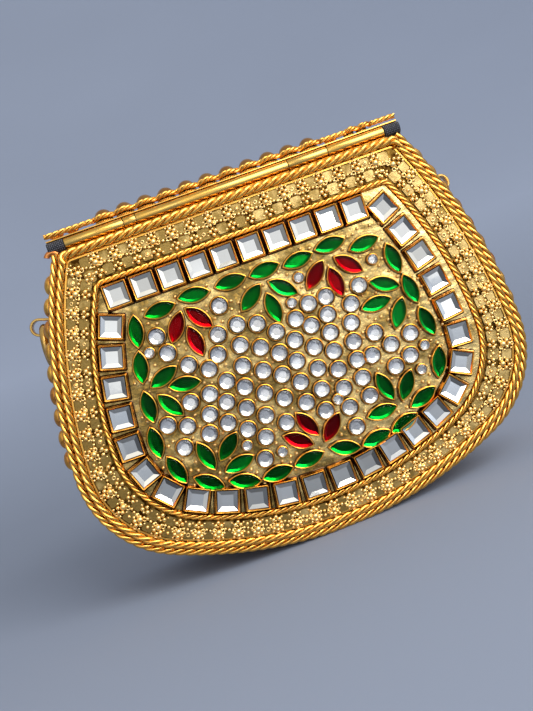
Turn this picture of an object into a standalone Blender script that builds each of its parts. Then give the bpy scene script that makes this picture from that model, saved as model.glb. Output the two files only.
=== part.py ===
"""Evening box clutch of gold-coloured metal, with a stone-set front flap on a barrel hinge.

The bag stands upright on its curved bottom: X is its width, Y its depth with the front
at -Y, and Z is up. Lengths are millimetres until a mesh is made, which is in metres.
"""

import math

import bmesh
import bpy
from mathutils import Matrix, Vector

MM = 0.001
GAP = 0.3                      # clearance between two metal pieces that touch

# Outline of the body seen from the front: a flared side, a tight corner and a wide bottom
TOP_HALF = 60.8                # half the width at the top corner
FLARE = math.radians(26.2)     # how far the side leans out where it leaves the corner
SIDE_RADIUS = 179.6
SIDE_END = math.radians(3.0)   # what is left of that lean where the bottom corner starts
CORNER_RADIUS = 35.6
BOTTOM_RADIUS = 140.4
BODY_DEPTH = 44.4              # over the two rim ropes, front to back
BACK_RISE = 3.95               # how far the pressed field of the back stands out

# Facets of each stretch of the outline, for one half of the bag
SIDE_STEPS = 6
CORNER_STEPS = 5
BOTTOM_STEPS = 5

# Sheet, ropes and rails
RIM_ROPE = 2.4                 # thickness of the twisted rope round the body's rims
FLAP_ROPE = 2.1
ROPE_SEAM = 0.1                # rope in from the edge of the flap plate
FLAP_TOP_ROPE = 3.0
PANEL_ROPE = 1.7
ROPE_SPARE = 0.1               # between the row of squares and the rope round it, besides the gap
TOP_ROPE = 1.7
BAND_SHEET = 1.2
BAND_STEP = 0.6                # inner face of the band, out from the inner edge of the rim rope
STRIP_SHEET = 0.8
STRIP_RISE = 5.4               # top of the top strip above the corner where the rim rope ends
RISER = 20.0                   # how far the outline is carried above its top corners before it is cut
TOP_ROPE_BACK = 0.6            # rope on the top strip behind the front rim rope
PLATE_SHEET = 1.0
LEDGE_SHEET = 1.2
LEDGE_WIDTH = 6.6
LINING = 1.2
FLAP_LINING = 0.8
RAIL_DEPTH = 1.2

# Hinge along the top edge of the flap
BARREL = 3.6                   # outer diameter of the knuckles
PIN = 1.4
LEAF_SHEET = 0.65
LEAF_REACH = 11.0
LEAF_DROP = 0.05               # body leaf below the top of the barrel
HINGE_DROP = STRIP_SHEET + GAP + BARREL / 2  # axis of the hinge below the top of the top strip
HINGE_BACK = 0.7               # axis of the hinge behind the middle of the front rim rope
HINGE_CLEAR = 0.4              # flap plate and rim rope below the barrel
NECK_REACH = 1.0               # overlap of a knuckle's neck with its leaf
PLATE_LEAD = 0.35              # back of the flap plate ahead of the hinge leaf, besides the gap
FLAP_TOP_ROPE_DROP = 1.4       # middle of the flap's top rope below the top of its plate
FLAP_TOP_ROPE_END = 1.0        # from the corner of the flap plate to the end of that rope
LEDGE_DROP = 1.0               # top of the rim ledge below the hinge leaf

# Cloth-covered rail
RAIL_DROP = 5.0                # lower edge of the rail below the hinge axis
ROLL_OVERHANG = 0.2            # ends of the rolled cloth beyond the top corners
ROLL_NECK = 1.6                # cloth between roll and rail, below the hinge axis
ROLL_STEPS = 8
KNUCKLES = (("body", 19.9), ("flap", 4.2), ("body", 52.6), ("flap", 13.9), ("body", 20.1))

# Stone-set panel: margins from the outline to the row of square stones
PANEL_SIDE_MARGIN = 20.8
PANEL_TOP_MARGIN = 18.5
PANEL_BOTTOM_MARGIN = 17.4
PANEL_SPREAD = 0.032           # the panel's sides lean less than the body's: wider at the top
PANEL_SHEET = 0.8
BORDER_SHEET = 0.7
STONE_HEIGHT = 2.0             # top of a stone above the sheet that carries it
SQUARE = 8.5
TOP_SQUARES = 10
ROUND_ABOUT_SQUARES = 25
TOP_ROW_ENDS = (1.4, 10.1)     # first and last square of the top row, in from the row's corners
ROUND_ROW_ENDS = (1.8, 10.8)   # first and last of the other squares, along the row from its corners
LEAF_LENGTH = 11.0
LEAF_WIDTH = 5.1
ROUND = 6.0
SMALL_ROUND = 4.0
FLOWER_PITCH = 6.7
FLOWER = 2.6
FLOWER_HEIGHT = 1.1
SIDE_BEAD = 0.62               # beads beside a flower, as a share of it
SIDE_BEAD_SHARES = (0.24, 0.76)  # their places across the border

# Leaf-shaped stones as x, z and the turn of the long axis in degrees, measured from the middle
# of the bag and its lowest point: the vine tip to tip inside the squares, and the sprigs in it
VINE_LEAVES = ((1.9, 89.5, 4), (13.4, 88.9, 5), (25.1, 90.1, 1), (35.9, 86.6, 5), (43.6, 78.8, 97),
               (45.7, 67.4, 99), (47.3, 55.4, 100), (46.5, 41.2, 70), (37.4, 32.0, 20), (28.5, 26.2, 16),
               (17.9, 24.8, 8), (7.0, 25.6, -20), (-5.5, 26.3, 5), (-16.7, 25.7, 1), (-27.7, 27.2, -20),
               (-38.7, 31.0, -38), (-47.1, 38.6, -73), (-50.4, 49.3, 89), (-48.4, 60.9, 88), (-46.4, 73.7, 77),
               (-43.8, 85.0, 79), (-34.3, 88.9, 3), (-22.4, 89.8, -6), (-9.8, 89.7, 0))
GREEN_LEAVES = ((-5.2, 82.6, 36), (5.8, 82.1, -42), (0.6, 77.0, 96), (-40.6, 68.3, 20), (-35.0, 63.8, -10),
                (-41.7, 59.0, -58), (-36.7, 39.4, -76), (-28.9, 39.8, 40), (-27.4, 33.2, 9), (26.5, 39.9, -76),
                (33.5, 37.8, 55), (22.7, 32.3, 1), (37.9, 71.8, -27), (33.1, 66.6, 1), (39.2, 61.1, 59))
RED_LEAVES = ((-31.2, 81.9, 55), (-23.3, 82.4, -53), (-26.9, 75.6, 97), (17.2, 82.4, 43), (28.8, 82.0, -45),
              (22.9, 77.9, 96), (-2.1, 37.4, -63), (5.2, 33.5, 44), (-6.7, 33.4, -36))

# Strings of round stones: first, middle and last centre, and how many stones
ROUND_STRINGS = (((-38.2, 81.2), (-37.4, 78.1), (-36.7, 75.1), 2),
                 ((-31.7, 69.1), (-31.7, 69.1), (-31.7, 69.1), 1),
                 ((-44.8, 53.1), (-44.8, 53.1), (-44.8, 53.1), 1),
                 ((-35.3, 57.5), (-38.9, 50.6), (-42.2, 44.4), 3),
                 ((-28.6, 57.8), (-30.8, 51.6), (-33.0, 45.8), 3),
                 ((-26.0, 65.6), (-24.0, 62.7), (-21.9, 59.8), 2),
                 ((-24.3, 53.4), (-25.3, 50.2), (-26.3, 47.0), 2),
                 ((-19.4, 75.0), (-20.5, 72.0), (-21.6, 69.0), 2),
                 ((-15.8, 83.7), (-15.8, 83.7), (-15.8, 83.7), 1),
                 ((-12.5, 75.9), (-16.2, 59.4), (-20.9, 42.6), 6),
                 ((-6.2, 73.9), (-11.7, 51.8), (-19.0, 31.6), 7),
                 ((-1.2, 69.3), (-4.2, 55.4), (-8.4, 40.3), 5),
                 ((6.2, 71.1), (1.8, 58.0), (0.2, 44.1), 5),
                 ((12.0, 74.3), (8.2, 56.8), (5.2, 39.4), 6),
                 ((18.1, 74.5), (14.2, 53.8), (13.1, 30.7), 8),
                 ((25.2, 69.5), (21.2, 54.5), (20.8, 38.8), 6),
                 ((29.8, 74.2), (29.8, 74.2), (29.8, 74.2), 1),
                 ((29.5, 57.7), (27.8, 54.4), (26.0, 51.1), 2),
                 ((33.3, 52.3), (32.9, 48.5), (32.4, 44.8), 2),
                 ((40.7, 53.5), (39.5, 50.0), (38.2, 46.6), 2))
SMALL_ROUNDS = ((36.9, 80.8), (43.8, 48.1), (-42.1, 77.1), (40.1, 40.9), (10.2, 41.4),
                (-23.0, 37.8), (-12.9, 31.8), (11.8, 83.5), (6.8, 76.5))

# Domes on the top strip and down the sides
DOME = 6.8
DOME_HEIGHT = 3.2              # of the domes down the sides
TOP_DOME_HEIGHT = 4.3
DOME_PITCH = 7.2
TOP_DOMES = 11
TOP_DOMES_START = -41.0
END_DOMES = 2
END_DOME = 4.2
END_DOME_PITCH = 4.6
END_DOMES_START = 45.5
SIDE_DOMES = 9
SIDE_DOMES_START = 9.0         # along the side, from the top corner
DOME_SET_BACK = 5.6            # centre of the domes behind the front rim rope
DOME_RING = 0.9                # height of the rope ring at a dome's foot

# Strap rings in their eyes, half way along the depth
EYE_DROP = 20.6                # middle of the eye below the top corner
EYE_HEIGHT = 8.4               # how far the eye stands off the side
EYE_SPAN = 6.4
EYE_WIDTH = 3.4
EYE_SHEET = 0.9
RING_WIRE = 2.6
RING_OUTER = 16.0
RING_LEAN = math.radians(5.5)  # the ring rests against the side, this far from plumb

# Closure
MAGNET = 9.0
MAGNET_THICK = 2.0
MAGNET_RISE = 15.0             # middle of the magnet above the lowest point
TONGUE_WIDTH = 12.0
TONGUE_SHEET = 1.2
TONGUE_CLEAR = 0.1             # tongue behind the flap's lining, besides the gap
TONGUE_MARGIN = 1.0            # tongue beyond the magnet
TONGUE_FOOT = 2.0              # lower end of the tongue above the ledge's outer edge

# Back panel: how far in from its edge and how far out, step by step
BACK_STEPS = ((0.0, 0.0), (4.0, 0.5), (8.0, 2.7), (12.0, BACK_RISE))

# End cap of the rim rope
CAP_PROFILE = ((1.1, 0.0), (1.1, 0.7), (0.6, 1.1))
CAP_CLEAR = 0.4                # between cap and rope, besides two gaps
CAP_DROP = 0.5                 # below the end of the rope

# Side domes, strap rings and round bars are facetted
DOME_SIDES = 8
RING_STEPS = 16


def side_arcs():
    """Right half of the outline from the top corner to the lowest point, bottom at z = 0."""
    side_centre = Vector((TOP_HALF - SIDE_RADIUS * math.cos(FLARE),
                          -SIDE_RADIUS * math.sin(FLARE)))
    points = []
    for step in range(SIDE_STEPS + 1):
        turn = FLARE + (SIDE_END - FLARE) * step / SIDE_STEPS
        points.append(side_centre + SIDE_RADIUS * Vector((math.cos(turn), math.sin(turn))))
    inward = Vector((math.cos(SIDE_END), math.sin(SIDE_END)))
    corner_centre = points[-1] - CORNER_RADIUS * inward
    reach = BOTTOM_RADIUS - CORNER_RADIUS
    bottom_centre = Vector((0.0, corner_centre.y + math.sqrt(reach ** 2 - corner_centre.x ** 2)))
    meet = math.atan2(corner_centre.y - bottom_centre.y, corner_centre.x)
    for step in range(1, CORNER_STEPS + 1):
        turn = SIDE_END + (meet - SIDE_END) * step / CORNER_STEPS
        points.append(corner_centre + CORNER_RADIUS * Vector((math.cos(turn), math.sin(turn))))
    # an odd number of half steps leaves a flat facet in the middle, which the bag stands on
    for step in range(1, BOTTOM_STEPS + 1):
        turn = meet + (-math.pi / 2 - meet) * step / (BOTTOM_STEPS + 0.5)
        points.append(bottom_centre + BOTTOM_RADIUS * Vector((math.cos(turn), math.sin(turn))))
    floor = points[-1].y
    return [Vector((point.x, point.y - floor)) for point in points]


RIGHT_SIDE = side_arcs()
RIM_Z = RIGHT_SIDE[0].y        # height of the top corners
TOP_Z = RIM_Z + STRIP_RISE
HINGE_Z = TOP_Z - HINGE_DROP
HALF_WIDTH = max(point.x for point in RIGHT_SIDE)

# Depth, from the front rope back; a rope is facetted, and a corner of it points each way in depth
ROPE_SIDES = 6
CORNER_REACH = 1 / math.cos(math.pi / ROPE_SIDES)
ROPE_Y = -(BODY_DEPTH - RIM_ROPE * CORNER_REACH) / 2
HINGE_Y = ROPE_Y + HINGE_BACK
BAND_Y = -ROPE_Y - RIM_ROPE * CORNER_REACH / 2 - GAP
PLATE_BACK_Y = HINGE_Y + BARREL / 2 - LEAF_SHEET - GAP - PLATE_LEAD
PLATE_Y = PLATE_BACK_Y - PLATE_SHEET
LEDGE_Y = PLATE_BACK_Y + GAP
LEAF_Y = LEDGE_Y
RAIL_Y = HINGE_Y + BARREL / 2 + GAP
LINING_Y = RAIL_Y + RAIL_DEPTH + GAP
BACK_Y = BAND_Y + GAP

# Insets from the outline
BAND_INSET = RIM_ROPE - BAND_SHEET - BAND_STEP
BAND_INSIDE = BAND_INSET + BAND_SHEET
PLATE_INSET = RIM_ROPE + GAP
FLAP_ROPE_INSET = PLATE_INSET + ROPE_SEAM + FLAP_ROPE / 2
BORDER_INSET = FLAP_ROPE_INSET + FLAP_ROPE / 2 + GAP
ROPE_TOP = HINGE_Z - BARREL / 2 - HINGE_CLEAR
PLATE_TOP = ROPE_TOP
FLAP_TOP_ROPE_Z = PLATE_TOP - FLAP_TOP_ROPE_DROP
BORDER_TOP = FLAP_TOP_ROPE_Z - FLAP_TOP_ROPE / 2 - GAP
LEDGE_INSET = BAND_INSIDE + GAP
LEDGE_TOP = HINGE_Z - LEAF_REACH - LEDGE_DROP


def turned_left(direction):
    """Unit normal on the left of a direction, in the plane of the front."""
    return Vector((-direction.y, direction.x)).normalized()


def offset_path(points, distance, closed=False):
    """The path moved by distance to the right of its run, with mitred corners."""
    count = len(points)
    moved = []
    for index, point in enumerate(points):
        before = points[index - 1] if closed or index else None
        after = points[(index + 1) % count] if closed or index < count - 1 else None
        normals = []
        if before is not None:
            normals.append(turned_left(point - before))
        if after is not None:
            normals.append(turned_left(after - point))
        normal = sum(normals, Vector((0.0, 0.0))).normalized()
        moved.append(point - normal * distance / normal.dot(normals[0]))
    return moved


def cut_at(points, height):
    """The part of an open path below a height, cut where it crosses it."""
    kept = []
    for start, end in zip(points, points[1:]):
        if start.y <= height:
            kept.append(start)
        if (start.y - height) * (end.y - height) < 0:
            kept.append(start.lerp(end, (height - start.y) / (end.y - start.y)))
    if points[-1].y <= height:
        kept.append(points[-1])
    return kept


def thinned(points, count):
    """A U-shaped path brought down to a count by dropping points next to its two ends."""
    kept = list(points)
    while len(kept) > count:
        kept.pop(1)
        kept.pop(-2)
    return kept


def filled_in(points, count):
    """A U-shaped path brought up to a count by halving its first and last stretches."""
    kept = list(points)
    while len(kept) < count:
        kept.insert(1, kept[0].lerp(kept[1], 0.5))
        kept.insert(-1, kept[-1].lerp(kept[-2], 0.5))
    return kept


def mirrored(right):
    """A whole U-shaped path from its right half."""
    return right + [Vector((-point.x, point.y)) for point in reversed(right)]


def body_path(inset, top):
    """U-shaped path inside the outline, from the right top end round the bottom to the left."""
    riser = [Vector((TOP_HALF, RIM_Z + RISER))]
    whole = mirrored(riser + RIGHT_SIDE)
    return cut_at(offset_path(whole, inset), top)


PANEL_WIDE = (HALF_WIDTH - PANEL_SIDE_MARGIN) / HALF_WIDTH
PANEL_TOP = RIM_Z - PANEL_TOP_MARGIN
PANEL_TALL = (PANEL_TOP - PANEL_BOTTOM_MARGIN) / RIM_Z


def panel_path(outset, top):
    """U-shaped path beside the row of square stones: the outline made smaller."""
    right = [Vector((point.x * (PANEL_WIDE + PANEL_SPREAD * (point.y / RIM_Z) ** 2),
                     PANEL_BOTTOM_MARGIN + point.y * PANEL_TALL)) for point in RIGHT_SIDE]
    lean = (right[0] - right[1]).normalized()
    riser = [right[0] + lean * RISER]
    return cut_at(offset_path(mirrored(riser + right), -outset), top)


def station(points, distance):
    """Segment of a path at a distance along it, and the fraction of that segment."""
    left = distance
    for index, (start, end) in enumerate(zip(points, points[1:])):
        length = (end - start).length
        if left <= length or index == len(points) - 2:
            return index, left / length
        left -= length


def point_at(points, distance):
    index, fraction = station(points, distance)
    return points[index] + (points[index + 1] - points[index]) * fraction


def walk(points, distances, reach):
    """Places along a path at given distances: middle and turn of a chord that reaches both ways."""
    places = []
    for distance in distances:
        start = point_at(points, distance - reach)
        end = point_at(points, distance + reach)
        place = (start + end) / 2
        places.append((place.x, place.y, math.atan2(end.y - start.y, end.x - start.x)))
    return places


def path_length(points):
    return sum((end - start).length for start, end in zip(points, points[1:]))


def spread(first, last, count):
    return [first + (last - first) * index / (count - 1) for index in range(count)]


def material(name, colour, roughness, metallic=0.0):
    """One plain Principled material."""
    made = bpy.data.materials.new(name)
    made.use_nodes = True
    shader = made.node_tree.nodes["Principled BSDF"]
    shader.inputs["Base Color"].default_value = (*colour, 1.0)
    shader.inputs["Roughness"].default_value = roughness
    shader.inputs["Metallic"].default_value = metallic
    return made


def gold(name, roughness=0.28, tone=(0.80, 0.55, 0.20)):
    return material(name, tone, roughness, 1.0)


def cloth(name):
    return material(name, (0.03, 0.03, 0.035), 0.9)


def finish(name, mesh_data, look, sharp=math.radians(35)):
    """Turn a bmesh in millimetres into a named object in metres."""
    bmesh.ops.recalc_face_normals(mesh_data, faces=mesh_data.faces)
    if mesh_data.calc_volume(signed=True) < 0:
        bmesh.ops.reverse_faces(mesh_data, faces=mesh_data.faces)
    bmesh.ops.scale(mesh_data, vec=(MM, MM, MM), verts=mesh_data.verts)
    mesh = bpy.data.meshes.new(name)
    mesh_data.to_mesh(mesh)
    mesh_data.free()
    mesh.shade_smooth()
    mesh.set_sharp_from_angle(angle=sharp)
    mesh.materials.append(look)
    made = bpy.data.objects.new(name, mesh)
    bpy.context.scene.collection.objects.link(made)
    return made


def combine(target, other, operation, crossing=False):
    """Union or difference with another object, which becomes a hidden tool."""
    change = target.modifiers.new(operation.lower(), "BOOLEAN")
    change.operation = operation
    change.use_self = crossing
    change.object = other
    other.hide_render = True
    other.display_type = "WIRE"
    return target


def bridge(mesh_data, rings, closed_rings=True):
    """Quads between neighbouring rings of vertices."""
    for ring, following in zip(rings, rings[1:]):
        count = len(ring)
        for index in range(count if closed_rings else count - 1):
            after = (index + 1) % count
            mesh_data.faces.new((ring[index], ring[after], following[after], following[index]))


def loft(name, sections, look):
    """A closed body through sections of equal count, each a list of (x, y, z)."""
    mesh_data = bmesh.new()
    rings = [[mesh_data.verts.new(point) for point in section] for section in sections]
    bridge(mesh_data, rings)
    for ring in (rings[0], rings[-1]):
        face = mesh_data.faces.new(ring)
        face.normal_update()
        bmesh.ops.triangulate(mesh_data, faces=[face], ngon_method="EAR_CLIP")
    return finish(name, mesh_data, look)


def slab(name, path, front, back, look):
    """A plate with the outline of a path, between two depths."""
    return loft(name, [[(p.x, front, p.y) for p in path], [(p.x, back, p.y) for p in path]], look)


def strip(name, outer, inner, front, back, look, closed=False):
    """A band between two paths of equal count, between two depths."""
    mesh_data = bmesh.new()
    quads = [[mesh_data.verts.new((p.x, y, p.y)) for p in path]
             for path, y in ((outer, front), (outer, back), (inner, back), (inner, front))]
    bridge(mesh_data, quads + [quads[0]], closed_rings=closed)
    if not closed:
        for end in (0, -1):
            mesh_data.faces.new([path[end] for path in quads])
    return finish(name, mesh_data, look)


def box_body(name, low, high, look):
    corners = [(low[0], low[2]), (high[0], low[2]), (high[0], high[2]), (low[0], high[2])]
    path = [Vector(corner) for corner in corners]
    return slab(name, path, low[1], high[1], look)


def sweep(name, path, depth, thickness, look, closed=False):
    """A round wire along a path in the plane of the front; one facet faces outwards."""
    radius = thickness / 2 * CORNER_REACH
    mesh_data = bmesh.new()
    wide = offset_path(path, 1.0, closed)
    rings = []
    for point, beside in zip(path, wide):
        inward = beside - point
        ring = []
        for side in range(ROPE_SIDES):
            turn = 2 * math.pi * (side + 0.5) / ROPE_SIDES
            across = radius * math.cos(turn)
            ring.append(mesh_data.verts.new((point.x + inward.x * across,
                                             depth + radius * math.sin(turn),
                                             point.y + inward.y * across)))
        rings.append(ring)
    if closed:
        bridge(mesh_data, rings + [rings[0]])
    else:
        bridge(mesh_data, rings)
        mesh_data.faces.new(rings[0])
        mesh_data.faces.new(rings[-1])
    return finish(name, mesh_data, look)


def turned(name, profile, place, axis, look, sides=8, spin=0.0):
    """A turned body from (radius, height) pairs; a last radius of zero makes a point."""
    mesh_data = bmesh.new()
    frame = Matrix.Translation(place) @ Vector((0, 0, 1)).rotation_difference(axis).to_matrix().to_4x4()
    rings = []
    for radius, height in profile:
        if radius == 0:
            rings.append(mesh_data.verts.new(frame @ Vector((0, 0, height))))
            continue
        rings.append([mesh_data.verts.new(frame @ Vector((
            radius * math.cos(2 * math.pi * (side + spin) / sides),
            radius * math.sin(2 * math.pi * (side + spin) / sides), height)))
            for side in range(sides)])
    round_rings = [ring for ring in rings if isinstance(ring, list)]
    bridge(mesh_data, round_rings)
    mesh_data.faces.new(round_rings[0])
    if isinstance(rings[-1], list):
        mesh_data.faces.new(round_rings[-1])
    else:
        for side in range(sides):
            mesh_data.faces.new((round_rings[-1][side], round_rings[-1][(side + 1) % sides], rings[-1]))
    return finish(name, mesh_data, look)


def rod(name, start, end, diameter, look, sides=12):
    """A round bar along X."""
    axis = Vector((1, 0, 0))
    profile = [(diameter / 2, 0.0), (diameter / 2, end[0] - start[0])]
    return turned(name, profile, Vector(start), axis, look, sides, 0.5)


def raise_setting(mesh_data, outline, place, turn, levels, ground):
    """One stone in its bezel: an outline repeated at (scale, height) levels, capped on top."""
    rings = []
    for scale, height in levels:
        ring = []
        for across, along in outline:
            x = place[0] + scale * (across * math.cos(turn) - along * math.sin(turn))
            z = place[1] + scale * (across * math.sin(turn) + along * math.cos(turn))
            ring.append(mesh_data.verts.new((x, ground - height, z)))
        rings.append(ring)
    bridge(mesh_data, rings)
    mesh_data.faces.new(rings[0])
    mesh_data.faces.new(rings[-1])


def square_outline(size):
    half = size / 2
    return [(-half, -half), (half, -half), (half, half), (-half, half)]


def round_outline(size, sides):
    return [(size / 2 * math.cos(2 * math.pi * (side + 0.5) / sides),
             size / 2 * math.sin(2 * math.pi * (side + 0.5) / sides)) for side in range(sides)]


def leaf_outline(length, width):
    """Two equal arcs that meet in a point at each end."""
    side = [(-0.5, 0.0), (-0.2, 0.46), (0.2, 0.46)]
    right = [(length * a, width * b) for a, b in side]
    return right + [(-x, -y) for x, y in right]


def square_places():
    """The row of square stones: along the top, then down one side and round to the other."""
    path = panel_path(0.0, PANEL_TOP)
    half_top = path[0].x
    row = [(x, PANEL_TOP, 0.0) for x in spread(-half_top + TOP_ROW_ENDS[0], half_top - TOP_ROW_ENDS[1],
                                              TOP_SQUARES)]
    length = path_length(path)
    stops = spread(ROUND_ROW_ENDS[0], length - ROUND_ROW_ENDS[1], ROUND_ABOUT_SQUARES)
    around = walk(path, stops, SQUARE / 2)
    return row + around


def round_places():
    """Round stones on their strings, each a smooth curve through three centres."""
    places = []
    for first, middle, last, count in ROUND_STRINGS:
        pull = [2 * m - (a + b) / 2 for a, m, b in zip(first, middle, last)]
        for index in range(count):
            t = index / (count - 1) if count > 1 else 0.0
            places.append([(1 - t) ** 2 * a + 2 * t * (1 - t) * p + t ** 2 * b
                           for a, p, b in zip(first, pull, last)])
    return places


def build_settings(ground):
    """All bezels with their stones as closed blocks whose feet lie inside the sheet."""
    mesh_data = bmesh.new()
    foot = -PANEL_SHEET / 2
    # footprint shares and heights: wall, dip inside the wall, and table of the stone
    square_levels = ((1.0, foot), (0.9, STONE_HEIGHT * 0.85), (0.76, STONE_HEIGHT * 0.7),
                     (0.5, STONE_HEIGHT))
    for x, z, turn in square_places():
        raise_setting(mesh_data, square_outline(SQUARE), (x, z), turn, square_levels, ground)
    leaf_levels = ((1.0, foot), (0.93, STONE_HEIGHT * 0.7), (0.5, STONE_HEIGHT))
    leaf = leaf_outline(LEAF_LENGTH, LEAF_WIDTH)
    for x, z, degrees in VINE_LEAVES + GREEN_LEAVES + RED_LEAVES:
        raise_setting(mesh_data, leaf, (x, z), math.radians(degrees), leaf_levels, ground)
    round_levels = ((1.0, foot), (0.75, STONE_HEIGHT))
    for place in round_places():
        raise_setting(mesh_data, round_outline(ROUND, 6), place, 0.0, round_levels, ground)
    for place in SMALL_ROUNDS:
        raise_setting(mesh_data, round_outline(SMALL_ROUND, 6), place, 0.0, round_levels, ground)
    return finish("settings", mesh_data, gold("settings_gold"))


def build_flap(pivot):
    """Flap plate with its ropes, border, stone-set panel, lining and strike plate."""
    front = PLATE_Y - GAP
    parts = []
    plate = slab("flap_plate", body_path(PLATE_INSET, PLATE_TOP), PLATE_Y, PLATE_BACK_Y,
                 gold("flap_plate_gold", 0.35))
    parts.append(plate)
    parts.append(sweep("flap_rim_rope", body_path(FLAP_ROPE_INSET, BORDER_TOP),
                       front - FLAP_ROPE * CORNER_REACH / 2, FLAP_ROPE, gold("flap_rope_gold")))
    half = body_path(PLATE_INSET, FLAP_TOP_ROPE_Z)[0].x - FLAP_TOP_ROPE_END
    parts.append(sweep("flap_top_rope", [Vector((-half, FLAP_TOP_ROPE_Z)), Vector((half, FLAP_TOP_ROPE_Z))],
                       front - FLAP_TOP_ROPE * CORNER_REACH / 2, FLAP_TOP_ROPE,
                       gold("flap_top_rope_gold")))
    rope_offset = SQUARE / 2 + GAP + PANEL_ROPE / 2 + ROPE_SPARE
    rope_line = PANEL_TOP + rope_offset
    parts.append(sweep("panel_rope", panel_path(rope_offset, rope_line),
                       front - PANEL_ROPE * CORNER_REACH / 2, PANEL_ROPE, gold("panel_rope_gold"),
                       closed=True))
    parts.append(build_border(front, rope_offset + PANEL_ROPE / 2 + GAP))
    edge = rope_offset - PANEL_ROPE / 2 - GAP
    sheet = slab("inner_panel", panel_path(edge, PANEL_TOP + edge), front, front - PANEL_SHEET,
                 gold("inner_panel_gold", 0.3, (0.86, 0.62, 0.25)))
    parts.append(combine(sheet, build_settings(front - PANEL_SHEET), "UNION", crossing=True))
    lining_top = HINGE_Z - LEAF_REACH - 2 * GAP
    lining = slab("flap_lining", body_path(LEDGE_INSET + LEDGE_WIDTH + 2 * GAP, lining_top),
                  LEDGE_Y, LEDGE_Y + FLAP_LINING, cloth("flap_velvet"))
    hole = turned("strike_hole", [(MAGNET / 2 + GAP, 0.0), (MAGNET / 2 + GAP, 3 * FLAP_LINING)],
                  Vector((0, LEDGE_Y - FLAP_LINING, MAGNET_RISE)), Vector((0, 1, 0)), gold("strike_tool"), 16)
    parts.append(combine(lining, hole, "DIFFERENCE"))
    parts.append(turned("flap_strike_plate", [(MAGNET / 2, 0.0), (MAGNET / 2, FLAP_LINING)],
                        Vector((0, LEDGE_Y, MAGNET_RISE)), Vector((0, 1, 0)),
                        material("strike_steel", (0.6, 0.6, 0.62), 0.35, 1.0), 16))
    for part in parts:
        hang_on(part, pivot)


def build_border(front, inner_offset):
    """Frame of sheet between the ropes, with its row of beaded flowers."""
    outer = body_path(BORDER_INSET, BORDER_TOP)
    inner = panel_path(inner_offset, PANEL_TOP + inner_offset)
    count = min(len(outer), len(inner))
    outer = thinned(outer, count)
    inner = thinned(inner, count)
    frame = strip("filigree_border", outer, inner, front, front - BORDER_SHEET,
                  gold("border_gold", 0.45, (0.62, 0.44, 0.17)), closed=True)
    flowers = bmesh.new()
    outer.append(outer[0])
    inner.append(inner[0])
    loop = [a.lerp(b, 0.5) for a, b in zip(outer, inner)]
    length = path_length(loop)
    count = round(length / FLOWER_PITCH)
    levels = ((1.0, -BORDER_SHEET / 2), (0.6, FLOWER_HEIGHT))
    ground = front - BORDER_SHEET
    for number in range(count):
        index, fraction = station(loop, length * (number + 0.5) / count)
        edges = [path[index].lerp(path[index + 1], fraction) for path in (outer, inner)]
        turn = math.atan2(edges[1].y - edges[0].y, edges[1].x - edges[0].x)
        raise_setting(flowers, round_outline(FLOWER, 6), edges[0].lerp(edges[1], 0.5), turn, levels, ground)
        for share in SIDE_BEAD_SHARES:
            raise_setting(flowers, round_outline(SIDE_BEAD * FLOWER, 4), edges[0].lerp(edges[1], share), turn,
                          levels, ground)
    return combine(frame, finish("flowers", flowers, gold("flower_gold")), "UNION", crossing=True)


def hang_on(part, pivot):
    """Parent a part to its pivot without moving it."""
    part.parent = pivot
    part.matrix_parent_inverse = pivot.matrix_world.inverted()


def pivot_at(name, place):
    pivot = bpy.data.objects.new(name, None)
    pivot.location = Vector(place) * MM
    bpy.context.scene.collection.objects.link(pivot)
    bpy.context.view_layer.update()
    return pivot


def knuckle_spans():
    """Start and end of each knuckle along X, with a gap between neighbours."""
    total = sum(length for _, length in KNUCKLES)
    at = -total / 2
    spans = []
    for owner, length in KNUCKLES:
        spans.append((owner, at + GAP / 2, at + length - GAP / 2))
        at += length
    return spans


def build_hinge(pivot):
    """Five-knuckle barrel hinge: one leaf under the top strip, one behind the flap plate."""
    spans = knuckle_spans()
    left = spans[0][1]
    right = spans[-1][2]
    clear = BARREL / 2 + GAP
    top = HINGE_Z + BARREL / 2 - LEAF_DROP
    body_gold = gold("hinge_gold", 0.22)
    body_leaf = box_body("hinge_body_leaf", (left, HINGE_Y + clear, top - LEAF_SHEET),
                         (right, HINGE_Y + LEAF_REACH, top), body_gold)
    flap_leaf = box_body("hinge_flap_leaf", (left, LEAF_Y, HINGE_Z - LEAF_REACH),
                         (right, LEAF_Y + LEAF_SHEET, HINGE_Z - clear), body_gold)
    for index, (owner, start, end) in enumerate(spans):
        barrel = rod("knuckle_%d" % index, (start, HINGE_Y, HINGE_Z), (end, HINGE_Y, HINGE_Z),
                     BARREL, body_gold, 16)
        if owner == "body":
            neck = box_body("neck_%d" % index, (start, HINGE_Y, top - LEAF_SHEET),
                            (end, HINGE_Y + clear + NECK_REACH, top), body_gold)
            leaf = body_leaf
        else:
            neck = box_body("neck_%d" % index, (start, LEAF_Y, HINGE_Z - clear - NECK_REACH),
                            (end, LEAF_Y + LEAF_SHEET, HINGE_Z), body_gold)
            leaf = flap_leaf
        combine(leaf, neck, "UNION")
        combine(leaf, barrel, "UNION")
    bore = rod("bore", (left - GAP, HINGE_Y, HINGE_Z), (right + GAP, HINGE_Y, HINGE_Z),
               PIN + 2 * GAP, body_gold, 12)
    combine(body_leaf, bore, "DIFFERENCE")
    combine(flap_leaf, bore, "DIFFERENCE")
    hang_on(flap_leaf, pivot)
    rod("hinge_pin", (left, HINGE_Y, HINGE_Z), (right, HINGE_Y, HINGE_Z), PIN,
        material("pin_steel", (0.55, 0.5, 0.42), 0.3, 1.0), 12)


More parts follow.
